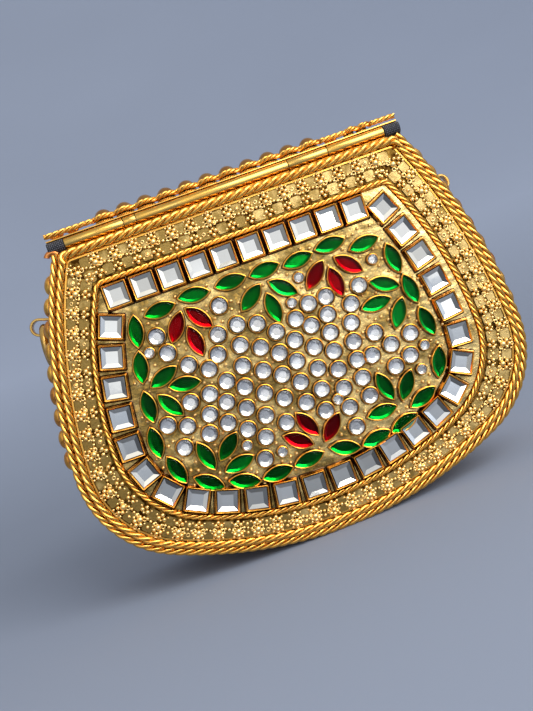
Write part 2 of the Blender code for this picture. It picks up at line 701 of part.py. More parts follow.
def build_fabric_rail():
    """Cloth-covered rail behind the hinge, with a rolled end at each side of the barrel."""
    black = cloth("rail_cloth")
    half = TOP_HALF - BAND_INSIDE - GAP
    top = HINGE_Z + BARREL / 2 - LEAF_SHEET - 2 * GAP
    rail = box_body("fabric_rail", (-half, RAIL_Y, HINGE_Z - RAIL_DROP),
                    (half, RAIL_Y + RAIL_DEPTH, top), black)
    barrel_end = knuckle_spans()[-1][2] + GAP
    roll_back = -BAND_Y - GAP
    for side in (-1, 1):
        near = min(side * barrel_end, side * half)
        far = max(side * barrel_end, side * half)
        neck = box_body("rail_neck", (near, roll_back - GAP, HINGE_Z - ROLL_NECK),
                        (far, RAIL_Y + GAP, top), black)
        outer = side * (TOP_HALF + ROLL_OVERHANG)
        start = min(side * barrel_end, outer)
        end = max(side * barrel_end, outer)
        roll = bmesh.new()
        radius = BARREL / 2
        arc = [(HINGE_Y - radius * math.sin(math.pi * step / ROLL_STEPS),
                HINGE_Z + radius * math.cos(math.pi * step / ROLL_STEPS)) for step in range(ROLL_STEPS + 1)]
        section = [(roll_back, arc[0][1])] + arc + [(roll_back, arc[-1][1])]
        rings = [[roll.verts.new((x, y, z)) for y, z in section] for x in (start, end)]
        bridge(roll, rings)
        roll.faces.new(rings[0])
        roll.faces.new(rings[1])
        combine(rail, neck, "UNION")
        combine(rail, finish("rail_roll", roll, black), "UNION")


def build_body():
    """Side band, back, top strip, ledge, ropes and lining."""
    band_gold = gold("band_gold", 0.32)
    rope_gold = gold("rim_rope_gold")
    band_top = TOP_Z - STRIP_SHEET - GAP
    band = strip("side_band", body_path(BAND_INSET, band_top), body_path(BAND_INSIDE, band_top),
                 -BAND_Y, BAND_Y, band_gold)
    combine(band, build_side_domes(), "UNION")
    box_body("top_strip", (-TOP_HALF, ROPE_Y, TOP_Z - STRIP_SHEET), (TOP_HALF, BAND_Y, TOP_Z),
             gold("strip_gold", 0.3))
    sweep("front_rim_rope", body_path(RIM_ROPE / 2, ROPE_TOP), ROPE_Y, RIM_ROPE, rope_gold)
    back_top = TOP_Z - RIM_ROPE / 2
    sweep("back_rim_rope", body_path(RIM_ROPE / 2, back_top), -ROPE_Y, RIM_ROPE, rope_gold, closed=True)
    top_rope_z = TOP_Z + GAP + TOP_ROPE / 2
    sweep("top_front_rope", [Vector((-TOP_HALF, top_rope_z)), Vector((TOP_HALF, top_rope_z))],
          ROPE_Y + TOP_ROPE_BACK, TOP_ROPE, gold("top_rope_gold"))
    ledge_outer = body_path(LEDGE_INSET, LEDGE_TOP)
    ledge_inner = offset_path(ledge_outer, LEDGE_WIDTH)
    ledge = strip("rim_ledge", ledge_outer, ledge_inner, LEDGE_Y, LEDGE_Y + LEDGE_SHEET,
                  gold("ledge_gold", 0.4))
    tongue_y = LEDGE_Y + FLAP_LINING + GAP + TONGUE_CLEAR
    tongue = box_body("magnet_tongue", (-TONGUE_WIDTH / 2, tongue_y, LEDGE_INSET + TONGUE_FOOT),
                      (TONGUE_WIDTH / 2, tongue_y + TONGUE_SHEET, MAGNET_RISE + MAGNET / 2 + TONGUE_MARGIN),
                      gold("tongue_gold"))
    combine(ledge, tongue, "UNION")
    turned("closure_magnet", [(MAGNET / 2, 0.0), (MAGNET / 2, MAGNET_THICK)],
           Vector((0, tongue_y + TONGUE_SHEET + GAP, MAGNET_RISE)), Vector((0, 1, 0)),
           material("magnet_steel", (0.45, 0.45, 0.47), 0.4, 1.0), 16)
    build_back_panel()
    build_lining()
    build_rope_cap()


def build_back_panel():
    """Pressed sheet with a raised flat field, proud of the rim rope."""
    edge = body_path(PLATE_INSET, TOP_Z - PLATE_INSET)
    sections = []
    for thickness in (0.0, PLATE_SHEET):
        side = []
        for inset, rise in BACK_STEPS:
            path = filled_in(body_path(PLATE_INSET + inset, edge[0].y - inset), len(edge))
            side.append([(p.x, BACK_Y + rise + thickness, p.y) for p in path])
        sections.append(side)
    loft("back_panel", sections[0][::-1] + sections[1], gold("back_gold", 0.35))


def build_lining():
    """Cloth-lined pan inside the body, open at the front."""
    black = cloth("body_velvet")
    top = TOP_Z - STRIP_SHEET - GAP - LEAF_SHEET - 2 * GAP
    outside = LEDGE_INSET
    back = BACK_Y - 2 * GAP
    pan = slab("body_lining", body_path(outside, top), LINING_Y, back, black)
    inside = slab("lining_tool", body_path(outside + LINING, top - LINING), LINING_Y - LINING, back - LINING,
                  black)
    combine(pan, inside, "DIFFERENCE")


def build_rope_cap():
    """Small end cap where the rim rope starts at the left top corner."""
    rope = body_path(RIM_ROPE / 2, ROPE_TOP)
    place = Vector((rope[-1].x - RIM_ROPE / 2 - 2 * GAP - CAP_CLEAR, ROPE_Y, rope[-1].y - CAP_DROP))
    turned("rope_end_cap", CAP_PROFILE, place, Vector((-1, 0, 0.3)).normalized(),
           gold("cap_copper", 0.4, (0.72, 0.36, 0.2)), 8)


def dome_profile(size, rise):
    """A rope ring round a dome, as (radius, height) pairs."""
    return [(size / 2, 0.0), (size / 2, DOME_RING), (0.38 * size, DOME_RING + 0.1),
            (0.27 * size, 0.8 * rise), (0.0, rise)]


def build_top_domes():
    """The row of ringed domes on the top strip, then the small pair at its right end."""
    dome_gold = gold("dome_gold", 0.2)
    y = ROPE_Y + DOME_SET_BACK
    for index in range(TOP_DOMES):
        place = Vector((TOP_DOMES_START + index * DOME_PITCH, y, TOP_Z + GAP))
        turned("top_dome_%02d" % (index + 1), dome_profile(DOME, TOP_DOME_HEIGHT), place,
               Vector((0, 0, 1)), dome_gold)
    for index in range(END_DOMES):
        place = Vector((END_DOMES_START + index * END_DOME_PITCH, y, TOP_Z + GAP))
        turned("end_dome_%d" % (index + 1), dome_profile(END_DOME, TOP_DOME_HEIGHT * END_DOME / DOME), place,
               Vector((0, 0, 1)), dome_gold)


def build_side_domes():
    """Domes down both sides just behind the front rope, as tools for the side band."""
    path = body_path(BAND_INSET, RIM_Z)
    mesh_data = bmesh.new()
    distances = [SIDE_DOMES_START + index * DOME_PITCH for index in range(SIDE_DOMES)]
    places = walk(path, distances, DOME / 2)
    places += walk(path, [path_length(path) - distance for distance in distances], DOME / 2)
    for x, z, turn in places:
        outward = Vector((-math.sin(turn), 0, math.cos(turn)))
        if outward.x * x < 0:
            outward = -outward
        across = outward.cross(Vector((0, 1, 0)))
        centre = Vector((x, ROPE_Y + DOME_SET_BACK, z)) - outward * BAND_SHEET / 2
        rings = []
        for radius, height in dome_profile(DOME, DOME_HEIGHT):
            lift = centre + outward * (height + (BAND_SHEET / 2 if height else 0.0))
            if radius == 0:
                rings.append(mesh_data.verts.new(lift))
                continue
            turns = [2 * math.pi * side / DOME_SIDES for side in range(DOME_SIDES)]
            rings.append([mesh_data.verts.new(lift + radius * (across * math.cos(angle)
                                                               + Vector((0, 1, 0)) * math.sin(angle)))
                          for angle in turns])
        bridge(mesh_data, rings[:-1])
        mesh_data.faces.new(rings[0])
        for side in range(DOME_SIDES):
            mesh_data.faces.new((rings[-2][side], rings[-2][(side + 1) % DOME_SIDES], rings[-1]))
    return finish("side_domes", mesh_data, gold("side_dome_gold"))


def build_ring(side_name, sign):
    """A strap eye on the side of the body and the ring that hangs in it."""
    path = body_path(BAND_INSET, RIM_Z)
    start = RIM_Z - EYE_DROP
    spot = next((a, b) for a, b in zip(path, path[1:]) if a.y >= start >= b.y)
    foot = spot[0].lerp(spot[1], (spot[0].y - start) / (spot[0].y - spot[1].y))
    down = (spot[1] - spot[0]).normalized()
    outward = Vector((-down.y, down.x))
    if outward.x < 0:
        outward = -outward
    low = GAP
    arch = []
    half = EYE_SPAN / 2
    straight = EYE_HEIGHT - half
    for outset in (0.0, EYE_SHEET):
        reach = half - outset
        line = [(-reach, low)]
        line += [(-reach * math.cos(math.pi * step / 8), straight + reach * math.sin(math.pi * step / 8))
                 for step in range(9)]
        line += [(reach, low)]
        arch.append([foot + down * a + outward * b for a, b in line])
    eye = strip("eye_" + side_name, [Vector((sign * p.x, p.y)) for p in arch[0]],
                [Vector((sign * p.x, p.y)) for p in arch[1]], -EYE_WIDTH / 2, EYE_WIDTH / 2,
                gold("eye_gold", 0.25))
    hang = foot + outward * (EYE_HEIGHT - EYE_SHEET - 2 * GAP - RING_WIRE / 2)
    pivot = pivot_at("ring_axis_" + side_name, (sign * hang.x, 0.0, hang.y))
    radius = (RING_OUTER - RING_WIRE) / 2
    fall = Vector((math.sin(RING_LEAN), -math.cos(RING_LEAN)))
    middle = hang + fall * radius
    mesh_data = bmesh.new()
    rings = []
    # a flat stretch of the facetted ring, not a corner, sits in the eye
    for step in range(RING_STEPS):
        turn = 2 * math.pi * (step + 0.5) / RING_STEPS
        spoke = Vector((-fall.x * math.cos(turn) * sign, math.sin(turn), -fall.y * math.cos(turn)))
        centre = Vector((sign * middle.x, 0.0, middle.y)) + spoke * radius / math.cos(math.pi / RING_STEPS)
        normal = Vector((fall.y * sign, 0.0, -fall.x))
        rings.append([mesh_data.verts.new(centre + RING_WIRE / 2 * (
            spoke * math.cos(math.pi * k / 3) + normal * math.sin(math.pi * k / 3))) for k in range(6)])
    bridge(mesh_data, rings + [rings[0]])
    hang_on(finish("ring_" + side_name, mesh_data, gold("ring_gold", 0.22)), pivot)
    return eye


def main():
    for old in list(bpy.data.objects):
        bpy.data.objects.remove(old)
    flap_pivot = pivot_at("flap_axis", (0.0, HINGE_Y, HINGE_Z))
    build_body()
    build_fabric_rail()
    build_hinge(flap_pivot)
    build_flap(flap_pivot)
    build_top_domes()
    build_ring("left", -1)
    build_ring("right", 1)


main()
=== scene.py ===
"""Looks of the stone-set metal clutch: every surface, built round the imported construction.

X is the bag's width, Y its depth with the front at -Y, and Z is up. Lengths are metres.
"""

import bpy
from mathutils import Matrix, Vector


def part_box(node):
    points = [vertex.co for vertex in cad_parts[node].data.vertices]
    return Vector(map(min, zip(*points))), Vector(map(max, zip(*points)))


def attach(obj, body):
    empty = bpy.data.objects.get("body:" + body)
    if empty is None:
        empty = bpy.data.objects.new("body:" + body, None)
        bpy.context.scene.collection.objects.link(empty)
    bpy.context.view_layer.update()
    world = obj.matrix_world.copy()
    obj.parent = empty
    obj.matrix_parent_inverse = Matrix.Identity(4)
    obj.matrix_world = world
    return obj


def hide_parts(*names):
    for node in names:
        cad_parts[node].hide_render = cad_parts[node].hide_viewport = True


bl_info = {
    "name": "Stone-set clutch",
    "version": (1, 0, 0),
    "blender": (4, 5, 0),
    "location": "View3D > Sidebar > Clutch",
    "description": "Builds the ropes, beads, bezels, stones, hinge, cloth and stage of a metal clutch",
    "category": "Object",
}

import math
import random
from itertools import combinations

import bmesh
import bpy
from bpy.props import FloatProperty, FloatVectorProperty, IntProperty, PointerProperty
from mathutils import Matrix, Vector
from mathutils.geometry import intersect_line_line_2d, intersect_point_line

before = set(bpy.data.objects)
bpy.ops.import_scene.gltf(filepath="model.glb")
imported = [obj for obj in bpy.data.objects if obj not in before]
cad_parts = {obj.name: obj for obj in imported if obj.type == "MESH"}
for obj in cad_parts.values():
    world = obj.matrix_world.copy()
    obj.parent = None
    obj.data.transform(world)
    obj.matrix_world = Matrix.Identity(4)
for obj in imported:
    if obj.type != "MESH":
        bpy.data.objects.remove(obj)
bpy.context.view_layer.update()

MM = 0.001
TURN = 2 * math.pi
FORWARD = Vector((0.0, -1.0, 0.0))
KEY_SIDE = (0.557, -0.663, 0.5)

# Outline of the body, as it was constructed
TOP_HALF = 60.8 * MM
FLARE = math.radians(26.2)
SIDE_RADIUS = 179.6 * MM
SIDE_END = math.radians(3.0)
CORNER_RADIUS = 35.6 * MM
BOTTOM_RADIUS = 140.4 * MM
BOTTOM_FACETS = 5.5
ARC_STEPS = 30

# Row of square stones inside that outline
PANEL_SIDE_MARGIN = 20.8 * MM
PANEL_TOP_MARGIN = 18.5 * MM
PANEL_BOTTOM_MARGIN = 17.4 * MM
PANEL_SPREAD = 0.032
SQUARE = 8.5 * MM
TOP_SQUARES = 10
ROUND_ABOUT_SQUARES = 25
TOP_ROW_ENDS = (1.4 * MM, 10.1 * MM)
ROUND_ROW_ENDS = (3.0 * MM, 9.8 * MM)
RIGHT_TAKEN_IN = 0.96
LEAF_LENGTH = 11.5 * MM
LEAF_WIDTH = 5.5 * MM
LEAF_OVER_ALL = LEAF_LENGTH + 0.2 * MM
GLASS_SHARP = math.radians(70)

# How much painted shade a flat facet of the foils gets, from 0 to 1
LEAF_FOIL_LEVEL = 0.86
ROUND_FOIL_LEVEL = 0.15

# Lines that follow the outline, as distances inside it
BAND_INSET = 0.6 * MM
RIM_ROPE_INSET = 1.36 * MM
FLAP_ROPE_INSET = 3.8 * MM
BORDER_INSET = 5.2 * MM
LINING_INSET = 9.3 * MM

# Granules on the sheet between the stones, and the room that the stones take from them
GRANULE_TRIES = 2600
GRANULE_LEAST = 0.42 * MM
GRANULE_MOST = 0.62 * MM
GRANULE_GAP = 0.8 * MM
GRANULE_FIELD = 6.0 * MM
ROUND_ROOM = 3.25 * MM
SMALL_ROUND_ROOM = 2.3 * MM
LEAF_ROOM = ((-0.36, 1.3), (-0.16, 2.4), (0.0, 2.7), (0.16, 2.4), (0.36, 1.3))

# Camera, fitted to the photo: the spot it looks at in millimetres, and its focal length in the photo's pixels
LOOK_AT = (-6.8, -21.0, 63.1)
SENSOR_WIDTH = 36
FOCAL_PIXELS = 800
PHOTO_HEIGHT = 711

# Hinge, domes, strap rings and closure
KNUCKLES = (("body", 19.9), ("flap", 4.2), ("body", 52.6), ("flap", 13.9), ("body", 20.1))
GAP = 0.3 * MM
LEAF_SHEET = 0.65 * MM
DOME = 6.8 * MM
DOME_PITCH = 7.2 * MM
TOP_DOMES = (*((-41.0 + 7.2 * index, 6.8) for index in range(11)), (45.5, 4.2), (50.1, 4.2))
BARE_RINGS = ((-57.2, 5.0), (-51.6, 4.2), (38.6, 4.6))
RING_LAY = 2.47 * MM
SIDE_DOMES = 9
SIDE_DOMES_START = 9.0 * MM
DOME_SET_BACK = 5.6 * MM
EYE_DROP = 20.6 * MM
EYE_HEIGHT = 8.4 * MM
EYE_SPAN = 6.4 * MM
EYE_WIDTH = 3.4 * MM
EYE_EASE = 1.8 * MM
EYE_SHEET = 0.9 * MM
RING_WIRE = 2.6 * MM
RING_OUTER = 16.0 * MM
RING_LEAN = math.radians(5.5)
MAGNET = 9.0 * MM

# Plates of the border, half as wide as this share of their size, and the black tape
PLATE_SIDE = 0.92
RAIL_END = 2.4 * MM
WEAVE_PITCH = 0.62 * MM

# Leaf-shaped stones: a vine inside the row of squares, and sprigs that grow from spots given in millimetres
VINE_CENTRE = Vector((0.0, 60 * MM))
VINE_LEAVES = 24
GREEN_SPRIGS = ((0, 80), (-39, 64), (-31, 37), (28, 37), (30, 66))
RED_SPRIGS = ((-27, 80), (23, 81), (-1, 35))
LEAVES_IN_SPRIG = 3

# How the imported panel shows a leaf-shaped stone: a flat front with six corners, longer than a round one's.
# Its turn is given up to an end, and from half a turn below it.
LEAF_CORNERS = 6
LEAF_FRONT = 5.0 * MM
LEAF_TURNS_END = math.radians(102)
SAME_LEVEL = 0.02 * MM
SAME_SPOT = 0.01 * MM

# Strings of round stones in millimetres: first, middle and last centre, and how many
ROUND_STRINGS = (
    ((-38.2, 81.2), (-37.4, 78.1), (-36.7, 75.1), 2),
    ((-31.7, 69.1), (-31.7, 69.1), (-31.7, 69.1), 1),
    ((-44.8, 53.1), (-44.8, 53.1), (-44.8, 53.1), 1),
    ((-35.3, 57.5), (-38.9, 50.6), (-42.2, 44.4), 3),
    ((-28.6, 57.8), (-30.8, 51.6), (-33.0, 45.8), 3),
    ((-26.0, 65.6), (-24.0, 62.7), (-21.9, 59.8), 2),
    ((-24.3, 53.4), (-25.3, 50.2), (-26.3, 47.0), 2),
    ((-19.4, 75.0), (-20.5, 72.0), (-21.6, 69.0), 2),
    ((-15.8, 83.7), (-15.8, 83.7), (-15.8, 83.7), 1),
    ((-12.5, 75.9), (-16.2, 59.4), (-20.9, 42.6), 6),
    ((-6.2, 73.9), (-11.7, 51.8), (-19.0, 31.6), 7),
    ((-1.2, 69.3), (-4.2, 55.4), (-8.4, 40.3), 5),
    ((6.2, 71.1), (1.8, 58.0), (0.2, 44.1), 5),
    ((12.0, 74.3), (8.2, 56.8), (5.2, 39.4), 6),
    ((18.1, 74.5), (14.2, 53.8), (13.1, 30.7), 8),
    ((25.2, 69.5), (21.2, 54.5), (20.8, 38.8), 6),
    ((29.8, 74.2), (29.8, 74.2), (29.8, 74.2), 1),
    ((29.5, 57.7), (27.8, 54.4), (26.0, 51.1), 2),
    ((33.3, 52.3), (32.9, 48.5), (32.4, 44.8), 2),
    ((40.7, 53.5), (39.5, 50.0), (38.2, 46.6), 2),
)
SMALL_ROUNDS = ((36.9, 80.8), (43.8, 48.1), (-42.1, 77.1), (40.1, 40.9), (10.2, 41.4),
                (-23.0, 37.8), (-12.9, 31.8), (11.8, 83.5), (6.8, 76.5))


def outline_half():
    """Right half of the outline from the top corner to the lowest point, flat where the bag stands."""
    side_centre = Vector((TOP_HALF - SIDE_RADIUS * math.cos(FLARE), -SIDE_RADIUS * math.sin(FLARE)))
    end = Vector((math.cos(SIDE_END), math.sin(SIDE_END)))
    corner_centre = side_centre + (SIDE_RADIUS - CORNER_RADIUS) * end
    reach = BOTTOM_RADIUS - CORNER_RADIUS
    bottom_centre = Vector((0.0, corner_centre.y + math.sqrt(reach ** 2 - corner_centre.x ** 2)))
    meet = math.atan2(corner_centre.y - bottom_centre.y, corner_centre.x)
    half_facet = (math.pi / 2 + meet) / BOTTOM_FACETS / 2
    floor = bottom_centre.y - BOTTOM_RADIUS * math.cos(half_facet)
    arcs = ((side_centre, SIDE_RADIUS, FLARE, SIDE_END),
            (corner_centre, CORNER_RADIUS, SIDE_END, meet),
            (bottom_centre, BOTTOM_RADIUS, meet, -math.pi / 2))
    points = []
    for centre, radius, first, last in arcs:
        for step in range(ARC_STEPS):
            turn = first + (last - first) * step / ARC_STEPS
            spot = centre + radius * Vector((math.cos(turn), math.sin(turn)))
            points.append(Vector((spot.x, max(spot.y - floor, 0.0))))
    return points


RIGHT_SIDE = outline_half()
RIM_Z = RIGHT_SIDE[0].y
HALF_WIDTH = max(point.x for point in RIGHT_SIDE)
PANEL_TOP = RIM_Z - PANEL_TOP_MARGIN


def middle(node, axis):
    """Middle of a CAD node along one axis."""
    low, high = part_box(node)
    return (low[axis] + high[axis]) / 2


# Places taken from the construction
ROPE_Y = middle("front_rim_rope", 1)
TOP_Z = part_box("top_strip")[1].z
STRIP_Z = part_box("top_strip")[0].z
SEAT_Z = STRIP_Z + 0.4 * MM
HINGE_Y = middle("hinge_pin", 1)
HINGE_Z = middle("hinge_pin", 2)
PLATE_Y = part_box("flap_plate")[0].y
PLATE_BACK_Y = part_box("flap_plate")[1].y
PLATE_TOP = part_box("flap_plate")[1].z
BORDER_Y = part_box("filigree_border")[1].y
LEDGE_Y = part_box("flap_lining")[0].y
PANEL_ROPE_OFFSET = SQUARE / 2 + 1.25 * MM


def turned_left(direction):
    """Unit normal on the left of a direction, in the plane of the front."""
    return Vector((-direction.y, direction.x)).normalized()


def offset_path(points, distance, closed=False):
    """The path moved by a distance to the right of its run, with mitred corners."""
    count = len(points)
    moved = []
    for index, point in enumerate(points):
        normals = []
        if closed or index:
            normals.append(turned_left(point - points[index - 1]))
        if closed or index < count - 1:
            normals.append(turned_left(points[(index + 1) % count] - point))
        normal = sum(normals, Vector((0.0, 0.0))).normalized()
        moved.append(point - normal * distance / normal.dot(normals[0]))
    return moved


def cut_at(points, height):
    """The part of an open path below a height, cut where it crosses it."""
    kept = []
    for start, end in zip(points, points[1:]):
        if start.y <= height:
            kept.append(start)
        if (start.y - height) * (end.y - height) < 0:
            kept.append(start.lerp(end, (height - start.y) / (end.y - start.y)))
    if points[-1].y <= height:
        kept.append(points[-1])
    return [point for index, point in enumerate(kept) if not index or (point - kept[index - 1]).length > 1e-6]


def mirrored(right):
    """A whole U-shaped path from its right half."""
    lowest = Vector((0.0, right[-1].y))
    return right + [lowest] + [Vector((-point.x, point.y)) for point in reversed(right)]


def body_path(inset, top):
    """U-shaped path inside the outline, from the right top end round the bottom to the left."""
    riser = [Vector((TOP_HALF, RIM_Z + 20 * MM))]
    return cut_at(offset_path(mirrored(riser + RIGHT_SIDE), inset), top)


def panel_path(outset, top):
    """U-shaped path beside the row of square stones: the outline made smaller."""
    wide = (HALF_WIDTH - PANEL_SIDE_MARGIN) / HALF_WIDTH
    tall = (PANEL_TOP - PANEL_BOTTOM_MARGIN) / RIM_Z
    right = [Vector((point.x * (wide + PANEL_SPREAD * (point.y / RIM_Z) ** 2),
                     PANEL_BOTTOM_MARGIN + point.y * tall)) for point in RIGHT_SIDE]
    riser = [right[0] + (right[0] - right[1]).normalized() * 20 * MM]
    return cut_at(offset_path(mirrored(riser + right), -outset), top)


def softened(points, reach, closed=True):
    """The path with every sharp corner replaced by a short curve that starts a reach away."""
    made = []
    count = len(points)
    for index, point in enumerate(points):
        before = points[index - 1]
        after = points[(index + 1) % count]
        at_end = not closed and index in (0, count - 1)
        if at_end or (point - before).angle(after - point, 0.0) < math.radians(12):
            made.append(point)
            continue
        start = point + (before - point).normalized() * min(reach, (before - point).length * 0.6)
        end = point + (after - point).normalized() * min(reach, (after - point).length * 0.6)
        for step in range(7):
            share = step / 6
            made.append(start.lerp(point, share).lerp(point.lerp(end, share), share))
    return made


def path_length(points, closed=False):
    ends = points[1:] + points[:1] if closed else points[1:]
    return sum((end - start).length for start, end in zip(points, ends))


def spaced(points, distances):
    """Places on an open path at rising distances, each with the direction of the path there."""
    places = []
    travelled = 0.0
    index = 0
    length = (points[1] - points[0]).length
    for distance in distances:
        while distance > travelled + length and index < len(points) - 2:
            travelled += length
            index += 1
            length = (points[index + 1] - points[index]).length
        run = points[index + 1] - points[index]
        places.append((points[index] + run * (distance - travelled) / length, run.normalized()))
    return places


def chords(points, distances, reach):
    """Middle and turn of chords of a path that reach both ways from rising distances."""
    starts = spaced(points, [distance - reach for distance in distances])
    ends = spaced(points, [distance + reach for distance in distances])
    places = []
    for (start, _), (end, _) in zip(starts, ends):
        run = end - start
        places.append(((start + end) / 2, math.atan2(run.y, run.x)))
    return places


def spread(first, last, count):
    return [first + (last - first) * index / (count - 1) for index in range(count)]


def ray_reach(path, origin, direction, furthest):
    """How far a path lies from a point in one direction, in the plane of the front."""
    end = origin + direction * furthest
    best = furthest
    for start, stop in zip(path, path[1:]):
        hit = intersect_line_line_2d(origin, end, start, stop)
        if hit is not None:
            best = min(best, (hit - origin).length)
    return best


def nearest_on(path, point):
    """Closest point of a path."""
    best = None
    for start, stop in zip(path, path[1:]):
        spot, share = intersect_point_line(point, start, stop)
        spot = Vector(spot[:2]) if 0 <= share <= 1 else (start if share < 0 else stop)
        if best is None or (spot - point).length < (best - point).length:
            best = spot
    return best


def node(tree, kind, links=(), **settings):
    """Add one node, set its options, and fill its inputs with values or other nodes' outputs."""
    made = tree.nodes.new(kind)
    for key, value in settings.items():
        setattr(made, key, value)
    for key, value in dict(links).items():
        socket = made.inputs[key]
        if isinstance(value, bpy.types.NodeSocket):
            tree.links.new(value, socket)
        else:
            socket.default_value = value
    return made


def ramp(tree, factor, stops):
    """A colour ramp with (position, colour) stops."""
    made = node(tree, "ShaderNodeValToRGB", {"Fac": factor})
    elements = made.color_ramp.elements
    while len(elements) < len(stops):
        elements.new(0.5)
    for element, (position, colour) in zip(elements, stops):
        element.position = position
        element.color = (*colour, 1.0)
    return made.outputs["Color"]


def scaled(tree, factor, low, high, to_low=0.0, to_high=1.0):
    """A number carried from one range to another, kept inside it."""
    return node(tree, "ShaderNodeMapRange", {"Value": factor, "From Min": low, "From Max": high,
                                             "To Min": to_low, "To Max": to_high}).outputs["Result"]


def mixed(tree, factor, first, second, mode="MIX"):
    """Two colours mixed or multiplied; each may be a value or a socket."""
    made = node(tree, "ShaderNodeMix", {"Factor": factor}, data_type="RGBA", blend_type=mode)
    for index, value in ((6, first), (7, second)):
        if isinstance(value, bpy.types.NodeSocket):
            tree.links.new(value, made.inputs[index])
        else:
            made.inputs[index].default_value = (*value, 1.0)
    return made.outputs[2]


def noise(tree, place, size, detail=3.0, roughness=0.55):
    """Noise with features of about a size in metres."""
    return node(tree, "ShaderNodeTexNoise", {"Vector": place, "Scale": 1.0 / size, "Detail": detail,
                                             "Roughness": roughness}).outputs["Fac"]


def blank(name, **values):
    """A material with one Principled shader whose plain values are set; returns it and its parts."""
    made = bpy.data.materials.new(name)
    made.use_nodes = True
    tree = made.node_tree
    shader = tree.nodes["Principled BSDF"]
    for key, value in values.items():
        shader.inputs[key.replace("_", " ").title().replace("Ior", "IOR")].default_value = value
    place = node(tree, "ShaderNodeTexCoord").outputs["Object"]
    return made, tree, shader, place


def bumped(tree, shader, height, depth, strength=1.0):
    made = node(tree, "ShaderNodeBump", {"Height": height, "Distance": depth, "Strength": strength})
    tree.links.new(made.outputs["Normal"], shader.inputs["Normal"])


def coloured(tree, shader, tone, cloud, rough):
    """Give a shader its colour, and a roughness that follows a cloud between two values."""
    tree.links.new(tone, shader.inputs["Base Color"])
    tree.links.new(scaled(tree, cloud, 0.3, 0.7, *rough), shader.inputs["Roughness"])


def metal(name, bright, shade=None, rough=(0.16, 0.34), grain=1.2 * MM, relief=0.05 * MM):
    """Metal with painted shade in its hollows, which may also hold the patina of the crevice colour.

    shade is None, or ("groove", low, high) for an attribute, or ("height", low, high) for the place
    along Y, or ("up", low, high) for the place along Z, low being the dark end.
    """
    made, tree, shader, place = blank(name, metallic=1.0)
    cloud = noise(tree, place, grain * 3, 4.0)
    fine = noise(tree, place, grain, 3.0)
    warm = [channel * share for channel, share in zip(bright, (0.93, 0.80, 0.62))]
    tone = mixed(tree, scaled(tree, cloud, 0.35, 0.65), warm, bright)
    if shade:
        if shade[0] == "groove":
            source = node(tree, "ShaderNodeAttribute", attribute_name="groove").outputs["Fac"]
        else:
            axis = {"height": "Y", "up": "Z"}[shade[0]]
            source = node(tree, "ShaderNodeSeparateXYZ", {"Vector": place}).outputs[axis]
        # painted shade: from the colour towards a darker copy of it, and at the dark end the crevice colour
        rise = scaled(tree, source, shade[1], shade[2])
        deep = [0.7 * channel * share for channel, share in zip(bright, (1.0, 0.78, 0.5))]
        upper = mixed(tree, scaled(tree, rise, 0.4, 1.0), deep, tone)
        tone = mixed(tree, scaled(tree, rise, 0.0, 0.5), colours().crevice, upper)
    coloured(tree, shader, tone, fine, rough)
    bumped(tree, shader, fine, relief)
    shader.inputs["Coat Weight"].default_value = 0.35
    shader.inputs["Coat Roughness"].default_value = 0.08
    return made


def cached(make):
    """Keep one copy of a material, made when it is first asked for."""
    store = {}

    def fetch():
        if make.__name__ not in store:
            store[make.__name__] = make()
        return store[make.__name__]
    return fetch


def colours():
    return bpy.context.scene.clutch.colours


def patchy_painted_light(tree, place, size, low, high):
    """A share that changes in clouds and rises from the left side to the right; the rise is painted light from
    the right.
    """
    aside = node(tree, "ShaderNodeSeparateXYZ", {"Vector": place}).outputs["X"]
    cloud = math_node(tree, "ADD", noise(tree, place, size, 4.0),
                      scaled(tree, aside, -40 * MM, 60 * MM, -0.07, 0.13))
    return scaled(tree, cloud, low, high)


@cached
def rope_gold():
    # dark between the strands: painted shade
    return metal("rope_gold", colours().gold, ("groove", 0.48, 0.88),
                 rough=(0.12, 0.22), grain=0.9 * MM, relief=0.02 * MM)


@cached
def sheet_gold():
    return metal("sheet_gold", colours().gold, rough=(0.2, 0.38), grain=2.2 * MM, relief=0.10 * MM)


@cached
def satin_gold():
    """Brushed along X."""
    made, tree, shader, place = blank("satin_gold", metallic=1.0)
    stretch = node(tree, "ShaderNodeMapping", {"Vector": place, "Scale": (0.03, 1.0, 1.0)})
    stretched = stretch.outputs["Vector"]
    lines = noise(tree, stretched, 0.12 * MM, 2.0)
    cloud = noise(tree, place, 6 * MM, 3.0)
    tone = mixed(tree, scaled(tree, cloud, 0.3, 0.7), colours().satin, colours().gold)
    tone = mixed(tree, scaled(tree, lines, 0.3, 0.7, 0.0, 0.25), tone, colours().crevice)
    coloured(tree, shader, tone, lines, (0.15, 0.28))
    bumped(tree, shader, lines, 0.01 * MM)
    return made


@cached
def ring_gold():
    return metal("ring_gold", colours().satin, rough=(0.24, 0.36), grain=3 * MM, relief=0.02 * MM)


@cached
def hammered_gold():
    """Thin sheet pressed over a bed, with shallow dents; its clouds are partly an olive film and partly
    painted reflection, and it is paler towards the right as painted light.
    """
    made, tree, shader, place = blank("hammered_gold", metallic=1.0)
    fine = noise(tree, place, 1.6 * MM, 4.0, 0.6)
    dents = node(tree, "ShaderNodeTexVoronoi", {"Vector": place, "Scale": 1 / (2.6 * MM), "Smoothness": 0.6},
                 feature="SMOOTH_F1").outputs["Distance"]
    tone = mixed(tree, patchy_painted_light(tree, place, 9 * MM, 0.42, 0.62), colours().olive, colours().cream)
    tone = mixed(tree, scaled(tree, fine, 0.52, 0.75, 0.0, 0.5), tone, colours().gold)
    coloured(tree, shader, tone, fine, (0.18, 0.34))
    height = node(tree, "ShaderNodeMath", {0: dents, 1: fine}, operation="ADD").outputs[0]
    bumped(tree, shader, height, 0.22 * MM)
    return made


